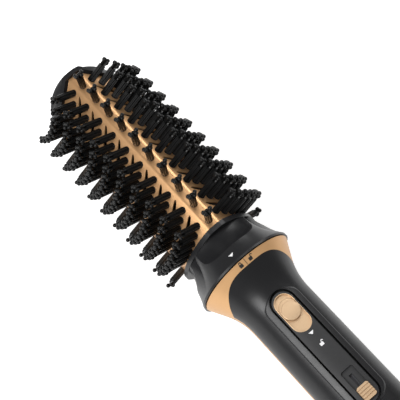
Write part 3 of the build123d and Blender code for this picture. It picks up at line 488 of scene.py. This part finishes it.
def bump(tree, shader, height, depth, strength):
    """Bumps of a height on a shader."""
    node = tree.nodes.new("ShaderNodeBump")
    node.inputs["Distance"].default_value = depth
    node.inputs["Strength"].default_value = strength
    tree.links.new(height, node.inputs["Height"])
    tree.links.new(node.outputs["Normal"], shader.inputs["Normal"])


def gold_coating(colour):
    """Satin gold coating of the barrel, with a very fine orange peel."""
    material, tree, shader = new_material("gold_coating")
    place = texture_place(tree)
    vary_colour(tree, shader, noise(tree, place, scale=90.0), colour, dark=0.94, light=1.06)
    vary_gloss(tree, shader, noise(tree, place, scale=400.0, detail=3.0), low=0.30, high=0.40)
    shader.inputs["Metallic"].default_value = 0.75
    bump(tree, shader, noise(tree, place, scale=1800.0), depth=0.01 * MM, strength=0.25)
    return material


def gold_trim(colour):
    """Metallised gold of the ring and the side lines."""
    material, tree, shader = new_material("gold_trim")
    place = texture_place(tree, scale=(6.0, 1.0, 1.0))
    vary_colour(tree, shader, noise(tree, place, scale=60.0), colour, dark=0.95, light=1.05)
    vary_gloss(tree, shader, noise(tree, place, scale=300.0, detail=3.0), low=0.36, high=0.46)
    shader.inputs["Metallic"].default_value = 0.35
    shader.inputs["Specular IOR Level"].default_value = 0.3
    bump(tree, shader, noise(tree, place, scale=900.0), depth=0.01 * MM, strength=0.25)
    return material


def gold_button(colour, centre):
    """Gold with rings turned round a centre, as on a spun disc."""
    material, tree, shader = new_material("gold_button")
    place = texture_place(tree, scale=(1, 1, 0), shift=(-centre.x, -centre.y, 0))
    rings = tree.nodes.new("ShaderNodeTexWave")
    rings.wave_type = "RINGS"
    rings.rings_direction = "SPHERICAL"
    rings.inputs["Scale"].default_value = 900.0
    rings.inputs["Distortion"].default_value = 0.4
    tree.links.new(place, rings.inputs["Vector"])
    vary_colour(tree, shader, rings.outputs["Fac"], colour, dark=0.92, light=1.05)
    shader.inputs["Metallic"].default_value = 0.6
    shader.inputs["Roughness"].default_value = 0.42
    bump(tree, shader, rings.outputs["Fac"], depth=0.02 * MM, strength=0.3)
    return material


def satin_black(colour):
    """Black housing plastic with a soft satin skin."""
    material, tree, shader = new_material("satin_black")
    place = texture_place(tree)
    vary_colour(tree, shader, noise(tree, place, scale=70.0), colour, dark=0.9, light=1.15)
    vary_gloss(tree, shader, noise(tree, place, scale=260.0, detail=3.0), low=0.30, high=0.38)
    shader.inputs["Specular IOR Level"].default_value = 0.3
    bump(tree, shader, noise(tree, place, scale=2600.0), depth=0.01 * MM, strength=0.2)
    return material


def cap_black(colour):
    """Black of the tip cap: satin on its rim, matt over the dome."""
    material, tree, shader = new_material("cap_black")
    place = texture_place(tree)
    vary_colour(tree, shader, noise(tree, place, scale=70.0), colour, dark=0.9, light=1.15)
    along = tree.nodes.new("ShaderNodeSeparateXYZ")
    tree.links.new(place, along.inputs["Vector"])
    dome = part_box("tip_cap")[0].x + CAP_RIM
    gloss = spread(tree, along.outputs["X"], low=0.38, high=0.75, start=dome, end=dome + CAP_BLEND)
    tree.links.new(gloss, shader.inputs["Roughness"])
    shader.inputs["Specular IOR Level"].default_value = 0.15
    bump(tree, shader, noise(tree, place, scale=2600.0), depth=0.01 * MM, strength=0.2)
    return material


def plain_finish(name, colour, roughness, metallic=0.0):
    """Moulded or metal surface with a fine grain, for prints and for pieces inside and behind."""
    material, tree, shader = new_material(name)
    place = texture_place(tree)
    vary_colour(tree, shader, noise(tree, place, scale=120.0), colour, dark=0.88, light=1.1)
    vary_gloss(tree, shader, noise(tree, place, scale=500.0),
               low=roughness * 0.9, high=roughness * 1.1)
    shader.inputs["Metallic"].default_value = metallic
    bump(tree, shader, noise(tree, place, scale=900.0), depth=0.02 * MM, strength=0.3)
    return material


def bristle_nylon(colour):
    """Black nylon strands with fine flecks."""
    material, tree, shader = new_material("bristle_nylon")
    place = texture_place(tree)
    vary_colour(tree, shader, noise(tree, place, scale=500.0), colour, dark=0.7, light=1.6)
    shader.inputs["Roughness"].default_value = 0.35
    shader.inputs["Specular IOR Level"].default_value = 0.22
    bump(tree, shader, noise(tree, place, scale=1500.0), depth=0.03 * MM, strength=0.3)
    return material


def smoked_nylon(colour):
    """Nylon of the strip tufts: smoky brown at the root, black at the balls."""
    material, tree, shader = new_material("smoked_nylon")
    across = tree.nodes.new("ShaderNodeVectorMath")
    across.operation = "LENGTH"
    tree.links.new(texture_place(tree, scale=(0, 1, 1)), across.inputs[0])
    depth = spread(tree, across.outputs["Value"], low=0.0, high=1.0,
                   start=SMOKE_START, end=SMOKE_END)
    tree.links.new(tint(tree, depth, SMOKE, colour), shader.inputs["Base Color"])
    shader.inputs["Roughness"].default_value = 0.33
    shader.inputs["Specular IOR Level"].default_value = 0.25
    place = texture_place(tree)
    bump(tree, shader, noise(tree, place, scale=1500.0), depth=0.03 * MM, strength=0.3)
    return material


class STYLER_OT_finishes(bpy.types.Operator):
    """Gives every carried-over node its finish"""

    bl_idname = "styler.finishes"
    bl_label = "Finishes"

    def execute(self, context):
        colours = context.scene.styler_finishes
        low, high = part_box("release_button")
        gold = gold_coating(colours.coating)
        trim = gold_trim(colours.trim)
        button = gold_button(colours.button, (low + high) / 2)
        black = satin_black(colours.housing)
        cap = cap_black(colours.housing)
        panel = plain_finish("panel_matt", (0.022, 0.022, 0.023), roughness=0.6)
        inner = plain_finish("inner_moulding", (0.10, 0.10, 0.11), roughness=0.55)
        core = plain_finish("core_moulding", (0.012, 0.012, 0.012), roughness=0.6)
        steel = plain_finish("plain_steel", (0.55, 0.55, 0.55), roughness=0.35, metallic=1.0)
        mica = plain_finish("mica_sheet", (0.5, 0.43, 0.32), roughness=0.5)
        wire = plain_finish("heating_wire", (0.42, 0.36, 0.32), roughness=0.4, metallic=1.0)
        board = plain_finish("solder_mask", (0.02, 0.16, 0.06), roughness=0.35)
        rubber = plain_finish("gland_rubber", (0.014, 0.014, 0.014), roughness=0.6)
        finishes = {
            "barrel": gold, "barrel_core": core, "tip_cap": cap, "collar": black,
            "coupling_spigot": inner, "front_cover": black, "back_cover": black, "trim_frame": trim,
            "cover_screws": steel, "socket_ring": inner, "control_panel": panel,
            "release_track": button, "release_button": button, "release_latch": inner,
            "latch_springs": steel, "heat_switch": button, "switch_body": inner,
            "circuit_board": board, "air_duct": mica, "heater_frame": mica, "heating_coil": wire,
            "thermostat": steel, "ion_module": inner, "fan_shroud": inner, "motor": steel,
            "motor_shaft": steel, "fan": inner, "rear_grille": black, "filter_screen": steel,
            "contact_block": inner, "cord_gland": rubber,
        }
        for name, material in finishes.items():
            dress(NODES[name], material)
        return {"FINISHED"}


def face_surface(barrel):
    """Radius of a barrel face and the distance of its centre from the axis."""
    half = barrel.strip / 2
    edge = math.hypot(half, barrel.corner)
    angle = STRIP_TO_FACE - math.atan2(half, barrel.corner)
    chord = edge * math.sin(angle)
    sagitta = barrel.face - edge * math.cos(angle)
    radius = (chord**2 + sagitta**2) / (2 * sagitta)
    return radius, barrel.face - radius


def barrel_outline(barrel):
    """Cross-section of the barrel: flat strips, rounded edges and bulging faces, in Y and Z."""
    radius, centre = face_surface(barrel)
    middle_y = centre * math.sin(STRIP_TO_FACE)
    middle_z = centre * math.cos(STRIP_TO_FACE)
    edge_z = barrel.corner - barrel.rounding
    edge_y = middle_y + math.sqrt((radius - barrel.rounding) ** 2 - (edge_z - middle_z) ** 2)
    start = math.atan2(edge_y - middle_y, edge_z - middle_z)
    edge = []
    for i in range(EDGE_STEPS + 1):
        angle = start * i / EDGE_STEPS
        y = edge_y + barrel.rounding * math.sin(angle)
        z = edge_z + barrel.rounding * math.cos(angle)
        edge.append((math.hypot(y, z), math.atan2(y, z)))
    face = []
    for i in range(1, FACE_STEPS):
        angle = start + 2 * (STRIP_TO_FACE - start) * i / FACE_STEPS
        y = middle_y + radius * math.sin(angle)
        z = middle_z + radius * math.cos(angle)
        face.append((math.hypot(y, z), math.atan2(y, z)))
    third = edge + face + [(away, 2 * STRIP_TO_FACE - turn) for away, turn in reversed(edge)]
    places = []
    for side in range(len(FACE_TURNS)):
        for away, turn in third:
            angle = turn + 2 * STRIP_TO_FACE * side
            places.append((away * math.sin(angle), away * math.cos(angle)))
    return places


def barrel_tube(barrel):
    """Open tube of the barrel's outline, given its wall."""
    places = barrel_outline(barrel)
    bpy.ops.mesh.primitive_circle_add(vertices=len(places), radius=barrel.corner)
    shell = bpy.context.object
    for vertex, (y, z) in zip(shell.data.vertices, places):
        vertex.co = (RING_X + barrel.back, y, z)
    draw_out(shell, (barrel.reach, 0, 0))
    wall = shell.modifiers.new("wall", "SOLIDIFY")
    wall.thickness = barrel.wall
    wall.offset = -1
    bpy.ops.object.modifier_apply(modifier=wall.name)
    return shell


def row_place(tufts, row, y):
    """Where a tuft of a bent row stands along the styler, at a distance from the face's middle."""
    half = (tufts.columns - 1) / 2 * tufts.spacing
    share = row / (tufts.rows - 1)
    bend = tufts.bend - math.sqrt(tufts.bend**2 - y**2)
    more = share * (tufts.tip_lead - tufts.tip_bend * (1 - (y / half) ** 2))
    return RING_X + tufts.first + tufts.lead + row * tufts.pitch + bend + more


def turned_to(degrees):
    """Matrix that turns a piece standing at the top to another side of the barrel."""
    return Matrix.Rotation(math.radians(degrees), 4, "X")


def slot_blade(tufts, barrel, row):
    """Cutter of one air slot: a bent blade, pointed at both ends, midway between two rows."""
    bpy.ops.mesh.primitive_grid_add(x_subdivisions=1, y_subdivisions=SLOT_STEPS, size=1)
    blade = bpy.context.object
    for vertex in blade.data.vertices:
        y = barrel.slot_length * vertex.co.y
        share = min(1.0, 2 * abs(y) / barrel.slot_length)
        width = barrel.slot_width * math.sqrt(1 - SLOT_NARROWING * share**SLOT_TAPER)
        x = row_place(tufts, row + 0.5, y) + width * vertex.co.x
        vertex.co = (x, y, barrel.face / 2)
    draw_out(blade, (0, 0, barrel.face))
    return blade


class STYLER_OT_barrel(bpy.types.Operator):
    """Makes the barrel with rounded strip edges and the air slots between its rows"""

    bl_idname = "styler.barrel"
    bl_label = "Barrel"

    def execute(self, context):
        tufts = context.scene.styler_tufts
        barrel = context.scene.styler_barrel
        clear_selection()
        shell = barrel_tube(barrel)
        blades = []
        for row in range(tufts.rows - 1):
            blade = slot_blade(tufts, barrel, row)
            for turn in FACE_TURNS.values():
                blades.append(copy_of(blade, turned_to(turn)))
            bpy.data.objects.remove(blade)
        cutter = join(blades, "slot_blades")
        settle(cutter)
        pick(shell)
        cut = shell.modifiers.new("slots", "BOOLEAN")
        cut.operation = "DIFFERENCE"
        cut.solver = "EXACT"
        cut.object = cutter
        bpy.ops.object.modifier_apply(modifier=cut.name)
        bpy.data.objects.remove(cutter)
        clean_mesh(shell, BARREL_MERGE)
        smooth(shell, BARREL_CREASE)
        shell.name = "barrel_shell"
        dress(shell, NODES["barrel"].data.materials[0])
        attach(shell, "head")
        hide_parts("barrel")
        return {"FINISHED"}


def rod(radius, length, foot, tip, sides):
    """Round rod that stands on the XY plane at one place and leans to end over another."""
    bpy.ops.mesh.primitive_cylinder_add(vertices=sides, radius=radius, depth=length,
                                        location=(0, 0, length / 2))
    made = bpy.context.object
    settle(made)
    lean = Vector((tip[0] - foot[0], tip[1] - foot[1], length))
    turn = lean.to_track_quat("Z", "Y").to_matrix().to_4x4()
    made.matrix_world = Matrix.Translation((*foot, 0)) @ turn
    return made


def bundle(tufts, chance):
    """Strands of one tuft's bundle, side by side and cut at nearly one height."""
    made = []
    circles = ((OUTER_STRANDS, tufts.bundle), (INNER_STRANDS, tufts.bundle * INNER_SHARE))
    for count, away in circles:
        for i in range(count):
            turn = math.tau * (i + 0.5) / count
            foot = (away * math.cos(turn), away * math.sin(turn))
            height = tufts.body * chance.uniform(SHORTEST_STRAND, 1.0)
            made.append(rod(tufts.strand, height, foot, foot, STRAND_SIDES))
    return made


def ball_pin(tufts, length, over_x, over_y, rise):
    """Longer pin that leans out of the bundle and ends in a ball."""
    height = length - tufts.ball + rise
    foot = (over_x * PIN_FOOT_SHARE, over_y * PIN_FOOT_SHARE)
    pin = rod(tufts.pin, height, foot, (over_x, over_y), PIN_SIDES)
    bpy.ops.mesh.primitive_uv_sphere_add(segments=BALL_SEGMENTS, ring_count=BALL_RINGS,
                                         radius=tufts.ball, location=(over_x, over_y, height))
    return [pin, bpy.context.object]


def tuft(tufts, length, pins, seed):
    """One tuft: its bundle of strands and the ball pins that stand above it."""
    made = bundle(tufts, random.Random(seed))
    for over_x, over_y, rise in pins:
        made += ball_pin(tufts, length, over_x * MM, over_y * MM, rise * MM)
    whole = join(made, "tuft")
    settle(whole)
    smooth(whole, TUFT_CREASE)
    return whole


def root_eyelet_and_hole_shade(tufts):
    """Low black eyelet that a tuft stands in, with a rounded rim; its black is the tuft's root and
    also painted shade of the hole round it.
    """
    bpy.ops.mesh.primitive_cylinder_add(vertices=EYELET_SIDES, radius=tufts.root,
                                        depth=EYELET_HEIGHT, location=(0, 0, EYELET_MIDDLE))
    eyelet_with_shade = bpy.context.object
    round_edges(eyelet_with_shade, EYELET_ROUNDING, EYELET_STEPS, 0, TUFT_CREASE)
    settle(eyelet_with_shade)
    return eyelet_with_shade


class STYLER_OT_face_tufts(bpy.types.Operator):
    """Fills the three faces of the barrel with tufts"""

    bl_idname = "styler.face_tufts"
    bl_label = "Face tufts"

    def execute(self, context):
        scene = context.scene
        tufts = scene.styler_tufts
        radius, centre = face_surface(scene.styler_barrel)
        model = tuft(tufts, tufts.length, FACE_PINS, FACE_SEED)
        # Black eyelets at the roots: the tufts' black roots and also painted shade of the holes
        # they stand in
        eyelet_with_shade = root_eyelet_and_hole_shade(tufts)
        material = bristle_nylon(scene.styler_finishes.bristle)
        for name, turn in FACE_TURNS.items():
            made = []
            for row in range(tufts.rows):
                for column in range(tufts.columns):
                    y = (column - (tufts.columns - 1) / 2) * tufts.spacing
                    x = row_place(tufts, row, y)
                    z = centre + math.sqrt(radius**2 - y**2)
                    place = turned_to(turn) @ Matrix.Translation((x, y, z))
                    lean = Matrix.Rotation(-math.asin(y / radius), 4, "X")
                    made.append(copy_of(model, place))
                    made.append(copy_of(eyelet_with_shade, place @ lean))
            piece = join(made, "tufts_face_" + name)
            settle(piece)
            dress(piece, material)
            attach(piece, "head")
            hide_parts("face_bristles_" + name)
        bpy.data.objects.remove(model)
        bpy.data.objects.remove(eyelet_with_shade)
        return {"FINISHED"}


class STYLER_OT_strip_tufts(bpy.types.Operator):
    """Sets one line of tufts on each corner strip"""

    bl_idname = "styler.strip_tufts"
    bl_label = "Strip tufts"

    def execute(self, context):
        scene = context.scene
        tufts = scene.styler_tufts
        corner = scene.styler_barrel.corner
        model = tuft(tufts, tufts.strip_length, STRIP_PINS, STRIP_SEED)
        # Black eyelets at the roots: the tufts' black roots and also painted shade of the holes
        # they stand in
        eyelet_with_shade = root_eyelet_and_hole_shade(tufts)
        material = smoked_nylon(scene.styler_finishes.bristle)
        for name, turn in STRIP_TURNS.items():
            made = []
            for row in range(tufts.rows):
                x = RING_X + tufts.first + row * tufts.pitch
                place = turned_to(turn) @ Matrix.Translation((x, 0, corner))
                made.append(copy_of(model, place))
                made.append(copy_of(eyelet_with_shade, place))
            piece = join(made, "tufts_strip_" + name)
            settle(piece)
            dress(piece, material)
            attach(piece, "head")
            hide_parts("strip_bristles_" + name)
        bpy.data.objects.remove(model)
        bpy.data.objects.remove(eyelet_with_shade)
        return {"FINISHED"}


def stadium_outline(front, back, half):
    """Outline of a stadium along X between two ends, as places in X and Y."""
    places = []
    for end, start in ((front - half, -math.pi / 2), (back + half, math.pi / 2)):
        for i in range(STADIUM_STEPS + 1):
            angle = start + math.pi * i / STADIUM_STEPS
            places.append((end + half * math.cos(angle), half * math.sin(angle)))
    return places


class STYLER_OT_release(bpy.types.Operator):
    """Makes the release's disc with its lower skirt, and the gold floor under it"""

    bl_idname = "styler.release"
    bl_label = "Release"

    def execute(self, context):
        release = context.scene.styler_release
        centre = RING_X - release.centre
        radius = release.radius
        foot = release.floor + release.gap
        outline = stadium_outline(centre + radius, centre - radius, radius)
        disc = raised("disc", outline, foot, release.top)
        clean_mesh(disc, DISC_MERGE)
        round_edges(disc, release.rounding, DISC_STEPS, release.floor, PLATE_CREASE)
        outline = stadium_outline(centre + radius + release.skirt, centre - radius,
                                  radius - SKIRT_INSET)
        skirt = raised("skirt", outline, foot, release.floor + release.skirt_height)
        round_edges(skirt, release.rounding, SKIRT_STEPS, release.floor, PLATE_CREASE)
        knob = join([disc, skirt], "release_disc")
        dress(knob, NODES["release_button"].data.materials[0])
        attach(knob, RELEASE)
        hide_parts("release_button")
        front = centre + BLIND_FRONT
        back = centre - BLIND_BACK
        outline = [(front, -BLIND_HALF_WIDTH), (front, BLIND_HALF_WIDTH),
                   (back, BLIND_HALF_WIDTH), (back, -BLIND_HALF_WIDTH)]
        blind = raised("slot_blind", outline, release.floor - BLIND_DEPTH,
                       release.floor + BLIND_RISE)
        dress(blind, NODES["release_track"].data.materials[0])
        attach(blind, HANDLE)
        return {"FINISHED"}


def coil(radius, length, end):
    """Wound spring along X from its tail end, with closed wire ends."""
    bpy.ops.mesh.primitive_circle_add(vertices=WIRE_SIDES, radius=COIL_WIRE,
                                      rotation=(math.pi / 2, 0, 0),
                                      location=(radius - COIL_WIRE, 0, COIL_WIRE))
    wound = bpy.context.object
    settle(wound)
    winding = wound.modifiers.new("winding", "SCREW")
    winding.iterations = COIL_TURNS
    winding.steps = COIL_STEPS
    winding.screw_offset = (length - 2 * COIL_WIRE) / COIL_TURNS
    bpy.ops.object.modifier_apply(modifier=winding.name)
    open_mesh(wound)
    bpy.ops.mesh.remove_doubles(threshold=WIRE_MERGE)
    bpy.ops.mesh.select_all(action="SELECT")
    bpy.ops.mesh.fill_holes(sides=WIRE_SIDES)
    close_mesh()
    smooth(wound, COIL_CREASE)
    wound.matrix_world = Matrix.Translation(end) @ Matrix.Rotation(math.pi / 2, 4, "Y")
    return wound


class STYLER_OT_latch_coils(bpy.types.Operator):
    """Winds the two return springs behind the latch, at one length; on the styler they shorten as
    the release slides back
    """

    bl_idname = "styler.latch_coils"
    bl_label = "Latch coils"

    def execute(self, context):
        low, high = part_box("latch_springs")
        radius = (high.z - low.z) / 2
        length = high.x - low.x
        middle = (low.z + high.z) / 2
        made = []
        for y in (low.y + radius, high.y - radius):
            made.append(coil(radius, length, (low.x, y, middle)))
        piece = join(made, "latch_coils")
        settle(piece)
        dress(piece, NODES["latch_springs"].data.materials[0])
        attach(piece, HANDLE)
        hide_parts("latch_springs")
        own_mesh(piece)
        return {"FINISHED"}


def skin_radius(along, turn):
    """Distance from the axis to the skin, at a distance from the ring's front and an angle."""
    outward = Vector((0, math.sin(turn), math.cos(turn)))
    start = Vector((RING_X + along, 0, 0)) + outward * RAY_START
    depsgraph = bpy.context.evaluated_depsgraph_get()
    place = bpy.context.scene.ray_cast(depsgraph, start, -outward)[1]
    return math.hypot(place.y, place.z)


def laid_mark(shape, station, degrees):
    """Thin print of a shape laid on the skin, with its middle at a station and a turn."""
    outline = [(x * MM, y * MM) for x, y in shape]
    turn = math.radians(degrees)
    middle = skin_radius(station * MM, turn)
    places = []
    for x, y in outline:
        along = station * MM + x
        angle = turn + y / middle
        places.append((along, angle, skin_radius(along, angle)))
    made = raised("mark", outline, -MARK_RISE, MARK_RISE)
    for vertex in made.data.vertices:
        x, y, rise = vertex.co
        near = min(range(len(outline)), key=lambda i: math.dist(outline[i], (x, y)))
        along, angle, radius = places[near]
        away = radius + rise
        vertex.co = (RING_X + along, away * math.sin(angle), away * math.cos(angle))
    return made


def shackle_arc(away, shift):
    """Half circle of a lock's shackle, from its free leg to its fixed leg."""
    places = []
    for i in range(SHACKLE_STEPS + 1):
        angle = math.pi * i / SHACKLE_STEPS
        places.append((SHACKLE_CENTRE + away * math.sin(angle), shift - away * math.cos(angle)))
    return places


def lock_sign(station, degrees, shift=0.0):
    """Padlock sign: its body and a shackle, shifted sideways and with a short leg when open."""
    end = SHACKLE_FOOT + (SHACKLE_LIFT if shift else 0.0)
    shackle = [(end, shift - SHACKLE_OUTER)]
    shackle += shackle_arc(SHACKLE_OUTER, shift)
    shackle += [(SHACKLE_HEEL, shift + SHACKLE_OUTER), (SHACKLE_HEEL, shift + SHACKLE_INNER)]
    shackle += reversed(shackle_arc(SHACKLE_INNER, shift))
    shackle.append((end, shift - SHACKLE_INNER))
    return [laid_mark(shape, station, degrees) for shape in (LOCK_BODY, shackle)]


def ring_signs():
    """Closed lock, open lock and the line between them, on the gold ring."""
    divider = [(x, DIVIDER_HALF_WIDTH) for x in DIVIDER_STATIONS]
    divider += [(x, -y) for x, y in reversed(divider)]
    made = lock_sign(RING_SIGN_STATION, CLOSED_TURN)
    made += lock_sign(RING_SIGN_STATION, OPEN_TURN, SHACKLE_SHIFT)
    made.append(laid_mark(divider, DIVIDER_STATION, DIVIDER_TURN))
    return made


def panel_signs():
    """Arrow and open lock on the panel behind the release."""
    made = [laid_mark(ARROW, PANEL_ARROW_STATION, PANEL_TURN)]
    made += lock_sign(PANEL_LOCK_STATION, PANEL_TURN, SHACKLE_SHIFT)
    return made


class STYLER_OT_marks(bpy.types.Operator):
    """Prints the arrows, the lock signs and the dividing line"""

    bl_idname = "styler.marks"
    bl_label = "Marks"

    def execute(self, context):
        white = plain_finish("white_print", (0.82, 0.82, 0.82), roughness=0.5)
        dark = plain_finish("dark_print", (0.02, 0.018, 0.016), roughness=0.5)
        arrow = laid_mark(ARROW, COLLAR_ARROW_STATION, CLOSED_TURN)
        signs = {
            "collar_arrow": ("head", white, [arrow]),
            "ring_signs": (HANDLE, dark, ring_signs()),
            "panel_signs": (HANDLE, white, panel_signs()),
        }
        for name, (body, material, marks) in signs.items():
            piece = join(marks, name)
            dress(piece, material)
            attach(piece, body)
        return {"FINISHED"}


def area_light(name, place, target, size, power):
    """Square soft light at a place that faces a target."""
    bpy.ops.object.light_add(type="AREA", location=place)
    light = bpy.context.object
    light.name = name
    light.data.size = size
    light.data.energy = power
    light.rotation_mode = "QUATERNION"
    light.rotation_quaternion = (Vector(target) - Vector(place)).to_track_quat("-Z", "Y")


def pale_floor():
    """Pale floor that shows white to the camera and in gloss, and keeps the object's shadow."""
    material, tree, shader = new_material("pale_floor")
    shader.inputs["Base Color"].default_value = (0.85, 0.85, 0.85, 1)
    shader.inputs["Roughness"].default_value = 0.9
    shader.inputs["Emission Color"].default_value = (1, 1, 1, 1)
    path = tree.nodes.new("ShaderNodeLightPath")
    shown = path.outputs["Is Camera Ray"]
    for ray in ("Is Glossy Ray", "Is Transmission Ray"):
        either = tree.nodes.new("ShaderNodeMath")
        either.operation = "MAXIMUM"
        tree.links.new(shown, either.inputs[0])
        tree.links.new(path.outputs[ray], either.inputs[1])
        shown = either.outputs[0]
    glow = tree.nodes.new("ShaderNodeMath")
    glow.operation = "MULTIPLY"
    glow.inputs[1].default_value = FLOOR_GLOW
    tree.links.new(shown, glow.inputs[0])
    tree.links.new(glow.outputs[0], shader.inputs["Emission Strength"])
    return material


class STYLER_OT_stage(bpy.types.Operator):
    """Makes the floor, the lights and the camera"""

    bl_idname = "styler.stage"
    bl_label = "Stage"

    def execute(self, context):
        scene = context.scene
        stage = scene.styler_stage
        low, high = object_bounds()
        middle = (low + high) / 2
        place = (middle.x, middle.y, low.z - FLOOR_GAP)
        bpy.ops.mesh.primitive_plane_add(size=FLOOR_SIZE, location=place)
        floor = bpy.context.object
        floor.name = "floor"
        dress(floor, pale_floor())
        floor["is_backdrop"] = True
        world = bpy.data.worlds.new("soft_room")
        scene.world = world
        world.use_nodes = True
        background = world.node_tree.nodes["Background"]
        background.inputs["Color"].default_value = (1, 1, 1, 1)
        background.inputs["Strength"].default_value = stage.world
        for name, place, target, size, share in LIGHTS:
            area_light(name, place, target, size, stage.key * share)
        bpy.ops.object.camera_add(location=stage.camera)
        camera = bpy.context.object
        camera.name = "camera"
        camera.rotation_euler = [math.radians(part) for part in stage.turn]
        camera.data.sensor_width = 36.0
        camera.data.lens = stage.lens
        camera.data.clip_start = 0.01
        scene.camera = camera
        scene.view_settings.view_transform = "Standard"
        return {"FINISHED"}


class STYLER_PT_panel(bpy.types.Panel):
    """Lists the steps that build the styler, and its settings"""

    bl_idname = "STYLER_PT_panel"
    bl_label = "Hair Multistyler"
    bl_space_type = "VIEW_3D"
    bl_region_type = "UI"
    bl_category = "Styler"

    def draw(self, context):
        for operator in OPERATORS:
            self.layout.operator(operator.bl_idname)
        for group in GROUPS:
            box = self.layout.box()
            settings = getattr(context.scene, group)
            for name in type(settings).__annotations__:
                box.prop(settings, name)


GROUPS = {
    "styler_tufts": StylerTufts,
    "styler_barrel": StylerBarrel,
    "styler_release": StylerRelease,
    "styler_finishes": StylerFinishes,
    "styler_stage": StylerStage,
}
OPERATORS = (STYLER_OT_finishes, STYLER_OT_barrel, STYLER_OT_face_tufts, STYLER_OT_strip_tufts,
             STYLER_OT_release, STYLER_OT_latch_coils, STYLER_OT_marks, STYLER_OT_stage)


def register():
    for made in (*GROUPS.values(), *OPERATORS, STYLER_PT_panel):
        bpy.utils.register_class(made)
    for name, group in GROUPS.items():
        setattr(bpy.types.Scene, name, PointerProperty(type=group))


def unregister():
    for name in GROUPS:
        delattr(bpy.types.Scene, name)
    for made in reversed((*GROUPS.values(), *OPERATORS, STYLER_PT_panel)):
        bpy.utils.unregister_class(made)


def main():
    """Builds everything in order."""
    register()
    bpy.ops.styler.finishes()
    bpy.ops.styler.barrel()
    bpy.ops.styler.face_tufts()
    bpy.ops.styler.strip_tufts()
    bpy.ops.styler.release()
    bpy.ops.styler.latch_coils()
    bpy.ops.styler.marks()
    bpy.ops.styler.stage()


if __name__ == "__main__":
    main()
